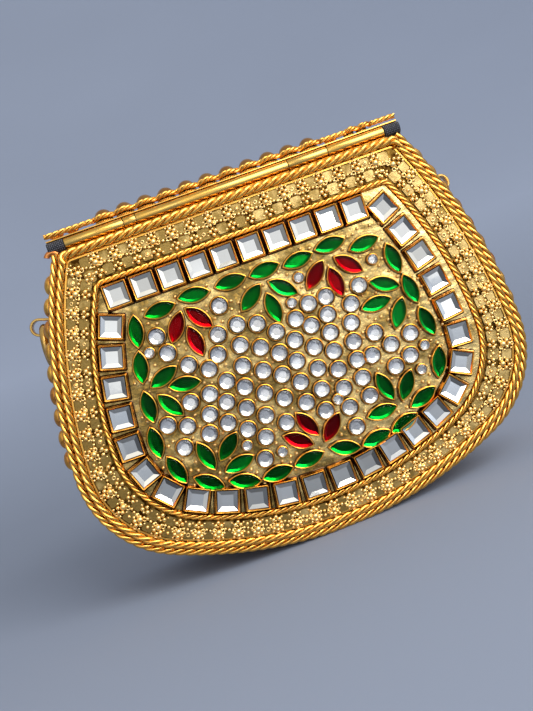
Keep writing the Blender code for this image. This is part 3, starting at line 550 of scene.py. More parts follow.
@cached
def bezel_gold():
    # darker towards the foot of each bezel, where it stands on the sheet: painted shade
    return metal("bezel_gold", colours().bezel,
                 ("height", PLATE_Y - 1.7 * MM, PLATE_Y - 2.9 * MM), rough=(0.14, 0.26),
                 grain=1.4 * MM, relief=0.03 * MM)


@cached
def bead_gold():
    # darker towards the bed, on the lower part of each bead: painted shade
    return metal("bead_gold", colours().bead,
                 ("height", BORDER_Y - 0.62 * MM, BORDER_Y - 1.3 * MM), rough=(0.26, 0.38),
                 grain=0.8 * MM, relief=0.01 * MM)


@cached
def plate_gold():
    """Flat worn plates, olive and speckled; paler in clouds, and paler towards the right as painted light."""
    made, tree, shader, place = blank("plate_gold", metallic=1.0)
    speck = noise(tree, place, 0.5 * MM, 4.0, 0.7)
    bright = [channel * 0.75 for channel in colours().cream]
    tone = mixed(tree, patchy_painted_light(tree, place, 4 * MM, 0.46, 0.72), colours().olive, bright)
    tone = mixed(tree, scaled(tree, speck, 0.56, 0.72, 0.0, 0.55), tone, colours().crevice)
    coloured(tree, shader, tone, speck, (0.38, 0.55))
    bumped(tree, shader, speck, 0.08 * MM)
    return made


@cached
def border_bed():
    """Sheet under the beads, dark partly with age and partly as painted shade of the gaps between them."""
    made, tree, shader, place = blank("border_bed", metallic=1.0)
    cloud = noise(tree, place, 2 * MM, 4.0)
    tone = ramp(tree, cloud, ((0.42, colours().crevice), (0.62, [c * 0.28 for c in colours().gold]),
                              (0.8, [c * 0.6 for c in colours().gold])))
    coloured(tree, shader, tone, cloud, (0.35, 0.5))
    bumped(tree, shader, cloud, 0.12 * MM)
    return made


def foil(name, colour, pale, roughness, deep=0.12):
    """Coloured mirror foil behind a stone, each stone with its own tone, and painted light and shade on its
    facets by the way they face.
    """
    made, tree, shader, place = blank(name, metallic=1.0)
    tone = node(tree, "ShaderNodeAttribute", attribute_name="tone").outputs["Fac"]
    dull = node(tree, "ShaderNodeAttribute", attribute_name="dull").outputs["Fac"]
    veil = noise(tree, place, 2.5 * MM, 2.0)
    # painted shade: facets that face away from the key lamp go towards deep times the colour, the others stay
    # bright
    tone = mixed(tree, scaled(tree, dull, 0.0, 1.0), mixed(tree, tone, colour, pale),
                 [channel * deep for channel in colour])
    coloured(tree, shader, tone, veil, roughness)
    return made


@cached
def square_silver():
    return foil("square_silver", (0.72, 0.69, 0.60), (0.98, 0.95, 0.85), (0.03, 0.10), 0.3)


@cached
def round_silver():
    return foil("round_silver", (0.84, 0.79, 0.68), (0.98, 0.95, 0.84), (0.10, 0.22), 0.5)


@cached
def green_foil():
    return foil("green_foil", colours().emerald, (0.012, 0.72, 0.16), (0.12, 0.26))


@cached
def red_foil():
    return foil("red_foil", colours().ruby, (0.95, 0.02, 0.06), (0.12, 0.26))


def glass(name, tint, ior=1.45):
    made, tree, shader, place = blank(name, transmission_weight=1.0, ior=ior)
    veil = noise(tree, place, 3 * MM, 2.0)
    faded = [channel * 0.93 for channel in tint]
    tree.links.new(mixed(tree, scaled(tree, veil, 0.3, 0.7), tint, faded), shader.inputs["Base Color"])
    shader.inputs["Roughness"].default_value = 0.03
    return made


@cached
def clear_glass():
    return glass("clear_glass", (0.98, 0.98, 1.0))


@cached
def green_glass():
    return glass("green_glass", (0.42, 0.9, 0.55), 1.12)


@cached
def red_glass():
    return glass("red_glass", (0.95, 0.35, 0.4), 1.12)


@cached
def copper():
    return metal("copper", colours().copper, rough=(0.3, 0.5), grain=1.5 * MM, relief=0.08 * MM)


@cached
def side_copper():
    """Side band and its ornaments: reddish where they are rubbed less."""
    made, tree, shader, place = blank("side_copper", metallic=1.0)
    cloud = noise(tree, place, 7 * MM, 4.0)
    fine = noise(tree, place, 1.2 * MM, 4.0)
    tone = mixed(tree, scaled(tree, cloud, 0.35, 0.65), colours().copper, colours().gold)
    tone = mixed(tree, scaled(tree, fine, 0.5, 0.75, 0.0, 0.6), tone, colours().crevice)
    coloured(tree, shader, tone, fine, (0.28, 0.46))
    bumped(tree, shader, fine, 0.12 * MM)
    return made


@cached
def rope_copper():
    # dark between the strands: painted shade
    return metal("rope_copper", colours().copper, ("groove", 0.42, 0.86),
                 rough=(0.26, 0.4), grain=0.9 * MM, relief=0.02 * MM)


@cached
def dome_gold():
    tone = [(gold + copper) * 0.24 for gold, copper in zip(colours().gold, colours().copper)]
    # darker towards the foot of each dome: painted shade
    return metal("dome_gold", tone, ("up", SEAT_Z + 1.2 * MM, SEAT_Z + 3.6 * MM),
                 rough=(0.2, 0.34), grain=1.6 * MM, relief=0.03 * MM)


@cached
def nickel():
    return metal("nickel", (0.68, 0.66, 0.63), rough=(0.2, 0.36), grain=2 * MM, relief=0.01 * MM)


@cached
def steel():
    return metal("steel", (0.55, 0.52, 0.47), rough=(0.25, 0.4))


@cached
def velvet():
    """Short black pile with a bluish sheen."""
    made, tree, shader, place = blank("velvet", sheen_weight=0.8, sheen_roughness=0.35)
    cloud = noise(tree, place, 12 * MM, 4.0)
    pile = noise(tree, place, 0.35 * MM, 3.0)
    tone = mixed(tree, scaled(tree, cloud, 0.35, 0.65), (0.008, 0.008, 0.010), (0.03, 0.03, 0.036))
    coloured(tree, shader, tone, pile, (0.8, 1.0))
    bumped(tree, shader, pile, 0.2 * MM)
    return made


@cached
def black_weave():
    """Black tape of a plain weave, its threads shining a little where they rise."""
    made, tree, shader, place = blank("black_weave", sheen_weight=0.08)
    wave = {"Vector": place, "Scale": 1 / WEAVE_PITCH / 3, "Distortion": 0.4}
    warp = node(tree, "ShaderNodeTexWave", wave, bands_direction="X").outputs["Fac"]
    weft = node(tree, "ShaderNodeTexWave", wave, bands_direction="Z").outputs["Fac"]
    cross = node(tree, "ShaderNodeMath", {0: warp, 1: weft}, operation="MULTIPLY").outputs[0]
    speck = noise(tree, place, 0.4 * MM, 2.0)
    glint = node(tree, "ShaderNodeMath", {0: cross, 1: speck}, operation="MULTIPLY").outputs[0]
    tree.links.new(ramp(tree, glint, ((0.06, (0.003, 0.003, 0.005)), (0.25, (0.02, 0.02, 0.027)),
                                      (0.5, (0.2, 0.2, 0.24)))), shader.inputs["Base Color"])
    tree.links.new(scaled(tree, cross, 0.0, 1.0, 0.7, 0.4), shader.inputs["Roughness"])
    bumped(tree, shader, cross, 0.25 * MM)
    return made


def tree_with(name, sizes):
    """A geometry node tree with named number inputs; returns it and its input sockets by name."""
    tree = bpy.data.node_groups.new(name, "GeometryNodeTree")
    tree.interface.new_socket("Geometry", in_out="INPUT", socket_type="NodeSocketGeometry")
    tree.interface.new_socket("Geometry", in_out="OUTPUT", socket_type="NodeSocketGeometry")
    for label, value in sizes.items():
        kind = "NodeSocketInt" if isinstance(value, int) else "NodeSocketFloat"
        tree.interface.new_socket(label, in_out="INPUT", socket_type=kind).default_value = value
    tree.interface.new_socket("Material", in_out="INPUT", socket_type="NodeSocketMaterial")
    return tree, tree.nodes.new("NodeGroupInput").outputs


def math_node(tree, operation, first, second=0.0):
    return node(tree, "ShaderNodeMath", {0: first, 1: second}, operation=operation).outputs[0]


def vector_node(tree, operation, links):
    made = node(tree, "ShaderNodeVectorMath", links, operation=operation)
    return made.outputs["Value" if operation in ("DISTANCE", "LENGTH", "DOT_PRODUCT") else "Vector"]


def named(tree, label, kind):
    return node(tree, "GeometryNodeInputNamedAttribute", {"Name": label}, data_type=kind).outputs["Attribute"]


def finish_tree(tree, given, shape, rounded=True):
    """Shading, no instances left, and the material: how every tree ends."""
    smooth = node(tree, "GeometryNodeSetShadeSmooth", {"Geometry": shape, "Shade Smooth": rounded})
    real = node(tree, "GeometryNodeRealizeInstances", {"Geometry": smooth.outputs["Geometry"]})
    painted = node(tree, "GeometryNodeSetMaterial", {"Geometry": real.outputs["Geometry"],
                                                     "Material": given["Material"]})
    tree.links.new(painted.outputs["Geometry"], tree.nodes.new("NodeGroupOutput").inputs["Geometry"])
    return tree


def rope_tree():
    """Strands that turn about a line of edges; each point of the line knows the normal of its plane."""
    tree, given = tree_with("twisted_rope", {"Thickness": 2.4 * MM, "Lay": 8.7 * MM, "Step": 0.5 * MM,
                                             "Strands": 3, "Sides": 8})
    line = node(tree, "GeometryNodeMeshToCurve", {"Mesh": given["Geometry"]}).outputs["Curve"]
    even = node(tree, "GeometryNodeResampleCurve", {"Curve": line, "Length": given["Step"]}, mode="LENGTH")
    axis = node(tree, "GeometryNodeStoreNamedAttribute",
                {"Geometry": even.outputs["Curve"], "Name": "axis",
                 "Value": node(tree, "GeometryNodeInputPosition").outputs["Position"]},
                data_type="FLOAT_VECTOR", domain="POINT").outputs["Geometry"]
    copies = node(tree, "GeometryNodeDuplicateElements", {"Geometry": axis, "Amount": given["Strands"]},
                  domain="SPLINE")
    travelled = node(tree, "GeometryNodeSplineParameter").outputs["Length"]
    share = math_node(tree, "DIVIDE", copies.outputs["Duplicate Index"], given["Strands"])
    turns = math_node(tree, "ADD", math_node(tree, "DIVIDE", travelled, given["Lay"]), share)
    angle = math_node(tree, "MULTIPLY", turns, TURN)
    strand = math_node(tree, "DIVIDE", given["Thickness"], 4.31)
    centre = math_node(tree, "MULTIPLY", strand, 1.155)
    plane = named(tree, "plane", "FLOAT_VECTOR")
    tangent = node(tree, "GeometryNodeInputTangent").outputs["Tangent"]
    aside = vector_node(tree, "NORMALIZE", {0: vector_node(tree, "CROSS_PRODUCT", {0: tangent, 1: plane})})
    across = vector_node(tree, "SCALE", {0: aside, "Scale": math_node(
        tree, "MULTIPLY", math_node(tree, "COSINE", angle), centre)})
    deep = vector_node(tree, "SCALE", {0: plane, "Scale": math_node(
        tree, "MULTIPLY", math_node(tree, "SINE", angle), centre)})
    laid = node(tree, "GeometryNodeSetPosition", {"Geometry": copies.outputs["Geometry"],
                                                  "Offset": vector_node(tree, "ADD", {0: across, 1: deep})})
    profile = node(tree, "GeometryNodeCurvePrimitiveCircle",
                   {"Resolution": given["Sides"], "Radius": math_node(tree, "MULTIPLY", strand, 1.12)})
    wire = node(tree, "GeometryNodeCurveToMesh",
                {"Curve": laid.outputs["Geometry"], "Profile Curve": profile.outputs["Curve"],
                 "Fill Caps": True})
    # how far each point lies from the rope's axis: the mask of the painted shade between the strands
    away = vector_node(tree, "DISTANCE", {0: node(tree, "GeometryNodeInputPosition").outputs["Position"],
                                          1: named(tree, "axis", "FLOAT_VECTOR")})
    groove = math_node(tree, "DIVIDE", away, math_node(tree, "MULTIPLY", given["Thickness"], 0.5))
    marked = node(tree, "GeometryNodeStoreNamedAttribute",
                  {"Geometry": wire.outputs["Mesh"], "Name": "groove", "Value": groove},
                  data_type="FLOAT", domain="POINT").outputs["Geometry"]
    return finish_tree(tree, given, marked)


def ball_shape(tree, given):
    ball = node(tree, "GeometryNodeMeshIcoSphere", {"Radius": 1.0, "Subdivisions": given["Detail"]})
    return ball.outputs["Mesh"]


def ring_shape(tree, given):
    loop = node(tree, "GeometryNodeCurvePrimitiveCircle", {"Resolution": 12, "Radius": 0.72})
    wire = node(tree, "GeometryNodeCurvePrimitiveCircle", {"Resolution": 5, "Radius": 0.28})
    return node(tree, "GeometryNodeCurveToMesh", {"Curve": loop.outputs["Curve"],
                                                  "Profile Curve": wire.outputs["Curve"]}).outputs["Mesh"]


def plate_shape(tree, given):
    """A low plate, square with cut corners: an octagon with four of its sides drawn long."""
    shape = node(tree, "GeometryNodeMeshCylinder", {"Vertices": 8, "Radius": 1.0, "Depth": 1.0},
                 fill_type="NGON")
    turned = node(tree, "GeometryNodeTransform",
                  {"Geometry": shape.outputs["Mesh"], "Rotation": (0.0, 0.0, TURN / 16)})
    spot = node(tree, "ShaderNodeSeparateXYZ",
                {"Vector": node(tree, "GeometryNodeInputPosition").outputs[0]})
    drawn = []
    for axis in "XY":
        out = math_node(tree, "MULTIPLY", spot.outputs[axis], 1.8)
        out = math_node(tree, "MINIMUM", out, PLATE_SIDE)
        drawn.append(math_node(tree, "MAXIMUM", out, -PLATE_SIDE))
    moved = node(tree, "ShaderNodeCombineXYZ", {"X": drawn[0], "Y": drawn[1], "Z": spot.outputs["Z"]})
    return node(tree, "GeometryNodeSetPosition",
                {"Geometry": turned.outputs[0], "Position": moved.outputs[0]}).outputs[0]


def scatter_tree(name, shape, rounded=True):
    """One shape at each point, sized and turned by the point's own attributes."""
    tree, given = tree_with(name, {"Detail": 2})
    rotation = node(tree, "FunctionNodeAlignRotationToVector",
                    {"Vector": named(tree, "aim", "FLOAT_VECTOR")}, axis="Z")
    rotation = node(tree, "FunctionNodeAlignRotationToVector",
                    {"Rotation": rotation.outputs["Rotation"],
                     "Vector": named(tree, "along", "FLOAT_VECTOR")},
                    axis="X", pivot_axis="Z")
    points = node(tree, "GeometryNodeMeshToPoints", {"Mesh": given["Geometry"]}).outputs["Points"]
    placed = node(tree, "GeometryNodeInstanceOnPoints",
                  {"Points": points, "Instance": shape(tree, given),
                   "Rotation": rotation.outputs["Rotation"], "Scale": named(tree, "size", "FLOAT_VECTOR")})
    real = node(tree, "GeometryNodeRealizeInstances", {"Geometry": placed.outputs["Instances"]})
    return finish_tree(tree, given, real.outputs["Geometry"], rounded)


TREES = {}


def tree_for(kind):
    """The node tree of that kind, built once."""
    makers = {"rope": rope_tree, "ball": lambda: scatter_tree("granules", ball_shape),
              "ring": lambda: scatter_tree("hollow_beads", ring_shape),
              "plate": lambda: scatter_tree("plates", plate_shape, False)}
    if kind not in TREES:
        TREES[kind] = makers[kind]()
    return TREES[kind]


def grown(name, base, kind, look, **sizes):
    """The plain mesh that a tree makes from a base mesh."""
    carrier = bpy.data.objects.new(name, base)
    bpy.context.scene.collection.objects.link(carrier)
    change = carrier.modifiers.new("grow", "NODES")
    change.node_group = tree_for(kind)
    sizes["Material"] = look
    for socket in change.node_group.interface.items_tree:
        if socket.in_out == "INPUT" and socket.name in sizes:
            change[socket.identifier] = sizes[socket.name]
    graph = bpy.context.evaluated_depsgraph_get()
    mesh = bpy.data.meshes.new_from_object(carrier.evaluated_get(graph))
    bpy.data.objects.remove(carrier)
    bpy.data.meshes.remove(base)
    mesh.name = name
    return mesh


def piece(name, mesh, look, body, stands_for=()):
    """A finished piece that moves with a body."""
    if look is not None:
        mesh.materials.clear()
        mesh.materials.append(look)
    made = bpy.data.objects.new(name, mesh)
    bpy.context.scene.collection.objects.link(made)
    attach(made, body)
    if stands_for:
        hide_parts(*stands_for)
    return made


def joined(name, meshes):
    """One mesh from several, keeping their attributes."""
    parts = [bpy.data.objects.new(name, mesh) for mesh in meshes]
    for part in parts:
        bpy.context.scene.collection.objects.link(part)
    with bpy.context.temp_override(active_object=parts[0], selected_editable_objects=parts):
        bpy.ops.object.join()
    mesh = parts[0].data
    bpy.data.objects.remove(parts[0])
    return mesh


def mesh_of(name, work, sharp=math.radians(40)):
    """A mesh from a bmesh, faces outwards, smooth below an angle."""
    bmesh.ops.recalc_face_normals(work, faces=work.faces)
    mesh = bpy.data.meshes.new(name)
    work.to_mesh(mesh)
    work.free()
    mesh.shade_smooth()
    mesh.set_sharp_from_angle(angle=sharp)
    return mesh


def skin(work, rings, closed=True, first_cap=True, last_cap=True):
    """Quads between neighbouring rings of places, with flat ends; returns the rings of vertices."""
    made = [[work.verts.new(place) for place in ring] for ring in rings]
    for ring, following in zip(made, made[1:]):
        count = len(ring)
        for index in range(count if closed else count - 1):
            after = (index + 1) % count
            work.faces.new((ring[index], ring[after], following[after], following[index]))
    for wanted, ring in ((first_cap, made[0]), (last_cap, made[-1])):
        if wanted:
            face = work.faces.new(ring)
            face.normal_update()
            if len(ring) > 4:
                bmesh.ops.triangulate(work, faces=[face], ngon_method="EAR_CLIP")
    return made


def turned(name, profile, place, axis, steps=28):
    """A body turned from (radius, height) pairs about an axis through a place."""
    lean = Vector((0, 0, 1)).rotation_difference(axis).to_matrix().to_4x4()
    stand = Matrix.Translation(place) @ lean
    work = bmesh.new()
    skin(work, [[stand @ Vector((*spot, height)) for spot in circle(radius, steps)]
                for radius, height in profile])
    return mesh_of(name, work)


def bar(name, start, end, radius, ease=0.14 * MM):
    """A round bar along X on the hinge axis, its ends eased."""
    length = end - start
    profile = ((radius - ease, 0.0), (radius - ease * 0.3, ease * 0.3), (radius, ease),
               (radius, length - ease), (radius - ease * 0.3, length - ease * 0.3), (radius - ease, length))
    return turned(name, profile, Vector((start, HINGE_Y, HINGE_Z)), Vector((1, 0, 0)), 40)


def bevelled(name, low, high, ease=0.12 * MM):
    """A flat bar between two corners with rounded edges."""
    work = bmesh.new()
    bmesh.ops.create_cube(work, size=1.0)
    low, high = Vector(low), Vector(high)
    for vertex in work.verts:
        vertex.co = (low + high) / 2 + Vector([part * (b - a) for part, a, b in zip(vertex.co, low, high)])
    bmesh.ops.bevel(work, geom=list(work.edges), offset=ease, segments=2, profile=0.5, affect="EDGES")
    return mesh_of(name, work)


def swept(name, frames, section, closed=False):
    """A section of (a, b) pairs carried through frames of (place, a direction, b direction)."""
    rings = [[place + across * a + deep * b for a, b in section] for place, across, deep in frames]
    work = bmesh.new()
    if closed:
        made = skin(work, rings, True, False, False)
        for index in range(len(section)):
            after = (index + 1) % len(section)
            work.faces.new((made[-1][index], made[-1][after], made[0][after], made[0][index]))
    else:
        skin(work, rings)
    return mesh_of(name, work)


def circle(radius, steps):
    return [(radius * math.cos(TURN * step / steps), radius * math.sin(TURN * step / steps))
            for step in range(steps)]


def rounded_section(wide, tall, ease):
    """A flat rectangle with eased corners, as (a, b) pairs."""
    half, high = wide / 2, tall / 2
    return [(-half + ease, -high), (half - ease, -high), (half, -high + ease), (half, high - ease),
            (half - ease, high), (-half + ease, high), (-half, high - ease), (-half, -high + ease)]


def in_front(path, depth):
    """Places of a path of the front at one depth."""
    return [Vector((point.x, depth, point.y)) for point in path]


def slab(name, path, front, back, round_over=0.15 * MM):
    """A plate with the outline of a path, its front edge eased."""
    work = bmesh.new()
    closed_inset = offset_path(path, round_over, True)
    eased = front + math.copysign(round_over, back - front)
    skin(work, [in_front(closed_inset, front), in_front(path, eased), in_front(path, back)])
    return mesh_of(name, work)


def strip(name, outer, inner, front, back, closed=False):
    """A band between two paths of equal count, between two depths."""
    work = bmesh.new()
    rows = [in_front(outer, front), in_front(outer, back), in_front(inner, back), in_front(inner, front)]
    made = skin(work, rows + rows[:1], closed, False, False)
    bmesh.ops.remove_doubles(work, verts=work.verts, dist=1e-7)
    if not closed:
        bmesh.ops.holes_fill(work, edges=[edge for edge in work.edges if edge.is_boundary], sides=4)
    del made
    return mesh_of(name, work)


def even_pair(outer, inner, count):
    """Two paths resampled to the same count."""
    pair = []
    for path in (outer, inner):
        length = path_length(path)
        pair.append([place for place, _ in spaced(path, spread(0.0, length * 0.99999, count))])
    return pair


def framed(path, count, top_count):
    """An open U-shaped path and the straight line between its ends, as one even loop."""
    around = [place for place, _ in spaced(path, spread(0.0, path_length(path) * 0.999999, count))]
    return around + [path[-1].lerp(path[0], step / top_count) for step in range(1, top_count)]


def line_mesh(name, runs):
    """Edges along runs of places; each run is (places, plane normals, closed)."""
    places = []
    planes = []
    edges = []
    for run, normals, closed in runs:
        start = len(places)
        places += run
        planes += normals
        edges += [(start + index, start + index + 1) for index in range(len(run) - 1)]
        if closed:
            edges.append((start + len(run) - 1, start))
    mesh = bpy.data.meshes.new(name)
    mesh.from_pydata(places, edges, [])
    layer = mesh.attributes.new("plane", "FLOAT_VECTOR", "POINT")
    layer.data.foreach_set("vector", [value for plane in planes for value in plane])
    return mesh


def rope(name, path, depth, thickness, lay, closed=False, look=None, step=0.5 * MM, strands=3):
    """A twisted rope along a path of the front."""
    length = path_length(path, closed)
    if closed:
        lay = length / round(length / lay)
    back = Vector((0.0, 1.0, 0.0))
    base = line_mesh(name, [(in_front(path, depth), [back] * len(path), closed)])
    return grown(name, base, "rope", look or rope_gold(), Thickness=thickness, Lay=lay, Step=step,
                 Strands=strands)


class Scatter:
    """Points that carry the size and turn of what will stand on them."""

    def __init__(self):
        self.places = []
        self.sizes = []
        self.aims = []
        self.alongs = []

    def add(self, place, size, aim=FORWARD, along=Vector((1.0, 0.0, 0.0))):
        self.places.append(place)
        self.sizes.append(Vector(size) if hasattr(size, "__len__") else Vector((size, size, size)))
        self.aims.append(aim)
        self.alongs.append(along)

    def mesh(self, name, kind, look, **sizes):
        base = bpy.data.meshes.new(name)
        base.from_pydata(self.places, [], [])
        for label, values in (("size", self.sizes), ("aim", self.aims), ("along", self.alongs)):
            layer = base.attributes.new(label, "FLOAT_VECTOR", "POINT")
            layer.data.foreach_set("vector", [number for value in values for number in value])
        return grown(name, base, kind, look, **sizes)


def length_of(label, about, default):
    return FloatProperty(name=label, description=about, default=default, min=0.0, unit="LENGTH", precision=5)


def colour_of(label, about, default):
    return FloatVectorProperty(name=label, description=about, default=default, min=0.0, max=1.0, size=3,
                               subtype="COLOR")


def angle_of(label, about, degrees, **limits):
    return FloatProperty(name=label, description=about, default=math.radians(degrees), subtype="ANGLE",
                         **limits)


def power_of(label, about, default):
    return FloatProperty(name=label, description=about, default=default, min=0.0, unit="POWER")


class ClutchColours(bpy.types.PropertyGroup):
    gold: colour_of("Gold", "Polished metal of the ropes and sheets", (0.93, 0.51, 0.09))
    # bead: paler than the gold, so that the granules look brightly lit: painted light
    bead: colour_of("Beads", "Granules of the border", (1.0, 0.74, 0.30))
    bezel: colour_of("Bezels", "Walls round the stones", (0.88, 0.43, 0.055))
    satin: colour_of("Satin", "Brushed metal of the hinge and the strap rings", (0.60, 0.39, 0.11))
    # cream: painted highlight, the lit side of the sheet between the stones; olive: that sheet's own film, and
    # also its painted shade
    cream: colour_of("Cream", "Bright side of the sheet between the stones", (0.86, 0.60, 0.22))
    olive: colour_of("Olive", "Dull side of the sheet between the stones", (0.27, 0.17, 0.045))
    # crevice: the patina of the hollows, and also the dark end of the painted shade that metal() and the
    # border's bed put there
    crevice: colour_of("Crevice", "Metal in the hollows, dark with age", (0.045, 0.017, 0.002))
    copper: colour_of("Copper", "Reddish metal of the sides", (0.60, 0.22, 0.05))
    emerald: colour_of("Emerald", "Foil behind the green stones", (0.003, 0.34, 0.035))
    ruby: colour_of("Ruby", "Foil behind the red stones", (0.62, 0.006, 0.014))


class ClutchRopes(bpy.types.PropertyGroup):
    rim: length_of("Rim rope", "Thickness of the rope round both rims", 2.6 * MM)
    rim_lay: length_of("Rim lay", "Length of one turn of its strands", 10.2 * MM)
    flap: length_of("Flap rope", "Thickness of the rope round the flap", 2.35 * MM)
    flap_lay: length_of("Flap lay", "Length of one turn of its strands", 9.9 * MM)
    top: length_of("Flap top rope", "Thickness of the rope along the flap's top", 3.1 * MM)
    top_lay: length_of("Flap top lay", "Length of one turn of its strands", 9.5 * MM)
    panel: length_of("Panel rope", "Thickness of the rope round the stones", 1.85 * MM)
    panel_lay: length_of("Panel lay", "Length of one turn of its strands", 7.4 * MM)
    ring: length_of("Dome ring", "Thickness of the ropes round the domes", 1.3 * MM)


class ClutchBorder(bpy.types.PropertyGroup):
    pitch: length_of("Flower pitch", "Distance between two beaded flowers", 6.5 * MM)
    bead: length_of("Large bead", "Radius of the bead in a flower's middle", 1.15 * MM)
    granule: length_of("Granule", "Radius of a flower's small beads", 0.74 * MM)
    chain: length_of("Chain granule", "Radius of the beads of the chain", 0.55 * MM)
    ring: length_of("Hollow bead", "Radius of a hollow bead", 0.88 * MM)
    plate: length_of("Plate", "Height of the plain plates above the bed", 0.45 * MM)
    seed: IntProperty(name="Seed", description="Which plates carry a hollow bead", default=7, min=0)


class ClutchStones(bpy.types.PropertyGroup):
    square_wall: length_of("Square wall", "Height of the bezels of the square stones", 2.45 * MM)
    leaf_wall: length_of("Leaf wall", "Height of the bezels of the leaf-shaped stones", 1.85 * MM)
    round_wall: length_of("Round wall", "Height of the bezels of the round stones", 1.75 * MM)
    bevel: angle_of("Bevel", "Slope of the square stones' bevels", 21, min=0.0, max=1.2)
    wobble: angle_of("Wobble", "How unevenly the square stones are set", 2.6, min=0.0, max=0.3)
    round_stone: length_of("Round stone", "Diameter over a round stone's bezel", 6.4 * MM)
    small_stone: length_of("Small round stone", "Diameter over a small round stone's bezel", 4.1 * MM)
    seed: IntProperty(name="Seed", description="Tone and tilt of each stone", default=3, min=0)


class ClutchHinge(bpy.types.PropertyGroup):
    barrel: length_of("Barrel", "Diameter of the hinge's knuckles", 3.94 * MM)
    roll: length_of("Roll", "Diameter of the rolled cloth at both ends", 3.94 * MM)
    seed: IntProperty(name="Seed", description="Unevenness of the rolled cloth", default=5, min=0)


class ClutchStage(bpy.types.PropertyGroup):
    backdrop: colour_of("Backdrop", "Floor and walls round the bag", (0.45, 0.51, 0.64))
    distance: length_of("Camera distance", "From the aimed point to the camera", 263 * MM)
    yaw: angle_of("Yaw", "How far the camera stands to the bag's left", 4.85)
    pitch: angle_of("Pitch", "How far the camera looks up", -3.12)
    roll: angle_of("Roll", "Turn of the camera about its own axis", 20.17)
    key: power_of("Key", "Power of the large lamp", 10.5)
    window: power_of("Window", "Power of the wide lamp on the right", 1.4)
    front: power_of("Front", "Power of the small lamp beside the camera", 0.5)
    room: power_of("Room", "Power of the wide lamp behind the camera", 1.7)
    sky: FloatProperty(name="Sky", description="Strength of the light from all round", default=0.75, min=0.0)


class ClutchSettings(bpy.types.PropertyGroup):
    colours: PointerProperty(type=ClutchColours, name="Colours",
                             description="Colours of metal, cloth and stones")
    ropes: PointerProperty(type=ClutchRopes, name="Ropes", description="Sizes of the twisted ropes")
    border: PointerProperty(type=ClutchBorder, name="Border", description="Sizes of the beaded border")
    stones: PointerProperty(type=ClutchStones, name="Stones", description="Sizes of the stones and bezels")
    hinge: PointerProperty(type=ClutchHinge, name="Hinge", description="Hinge and the cloth at its ends")
    stage: PointerProperty(type=ClutchStage, name="Stage", description="Floor, lamps and camera")


class CLUTCH_OT_ropes(bpy.types.Operator):
    """Twisted ropes round the rims, the flap and the panel"""
    bl_idname = "clutch.ropes"
    bl_label = "Ropes"

    def execute(self, context):
        given = context.scene.clutch.ropes
        rim = softened(body_path(RIM_ROPE_INSET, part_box("front_rim_rope")[1].z), 2 * MM, False)
        piece("front_rope", rope("front_rope", rim, ROPE_Y, given.rim, given.rim_lay), None,
              "body", ("front_rim_rope",))
        back = softened(body_path(RIM_ROPE_INSET, TOP_Z - 1.2 * MM), 2 * MM)
        twist = rope("back_rope", back, middle("back_rim_rope", 1), given.rim, given.rim_lay, True)
        piece("back_rope", twist, None, "body", ("back_rim_rope",))
        low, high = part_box("flap_rim_rope")
        side = body_path(FLAP_ROPE_INSET, high.z)
        piece("flap_rope", rope("flap_rope", side, (low.y + high.y) / 2, given.flap, given.flap_lay), None,
              "flap", ("flap_rim_rope",))
        low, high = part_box("flap_top_rope")
        level = (low.z + high.z) / 2
        line = [Vector((side[-1].x, level - 2.6 * MM)), Vector((side[-1].x + 0.3 * MM, level)),
                Vector((side[0].x - 0.3 * MM, level)), Vector((side[0].x, level - 2.6 * MM))]
        line = softened(line, 2.2 * MM, False)
        piece("flap_top_twist", rope("flap_top_twist", line, (low.y + high.y) / 2, given.top, given.top_lay),
              None, "flap", ("flap_top_rope",))
        low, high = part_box("panel_rope")
        loop = softened(panel_path(PANEL_ROPE_OFFSET, PANEL_TOP + PANEL_ROPE_OFFSET), 2.2 * MM)
        twist = rope("stone_rope", loop, (low.y + high.y) / 2, given.panel, given.panel_lay, True)
        piece("stone_rope", twist, None, "flap", ("panel_rope",))
        low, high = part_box("top_front_rope")
        line = self.scallops(low.x, high.x, (low.y + high.y) / 2, (low.z + high.z) / 2)
        base = line_mesh("strip_rope", [(line, [Vector((0.0, 1.0, 0.0))] * len(line), False)])
        twist = grown("strip_rope", base, "rope", rope_gold(), Thickness=1.75 * MM, Lay=6.6 * MM)
        piece("strip_rope", twist, None, "body", ("top_front_rope",))
        return {"FINISHED"}

    def scallops(self, start, end, front, level):
        """Places of the rope along the top strip, bowed forwards and up round the foot of each dome."""
        line = []
        for step in range(401):
            x = start + (end - start) * step / 400
            bow, rise = 1.0, 0.0
            for centre, size in TOP_DOMES:
                share = (x / MM - centre) / (DOME_PITCH / MM / 2 if size > 5 else 2.3)
                if abs(share) <= 1.0:
                    bow = math.cos(share * 1.2)
                    rise = bow - 0.36
            line.append(Vector((x, front + (1.0 - bow) * 2.0 * MM, level + 0.05 * MM + rise * 0.7 * MM)))
        return line


def border_edges():
    """Outer and inner edge of the border's bed, each an open path round to the left."""
    offset = PANEL_ROPE_OFFSET + 1.15 * MM
    return body_path(BORDER_INSET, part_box("filigree_border")[1].z), panel_path(offset, PANEL_TOP + offset)


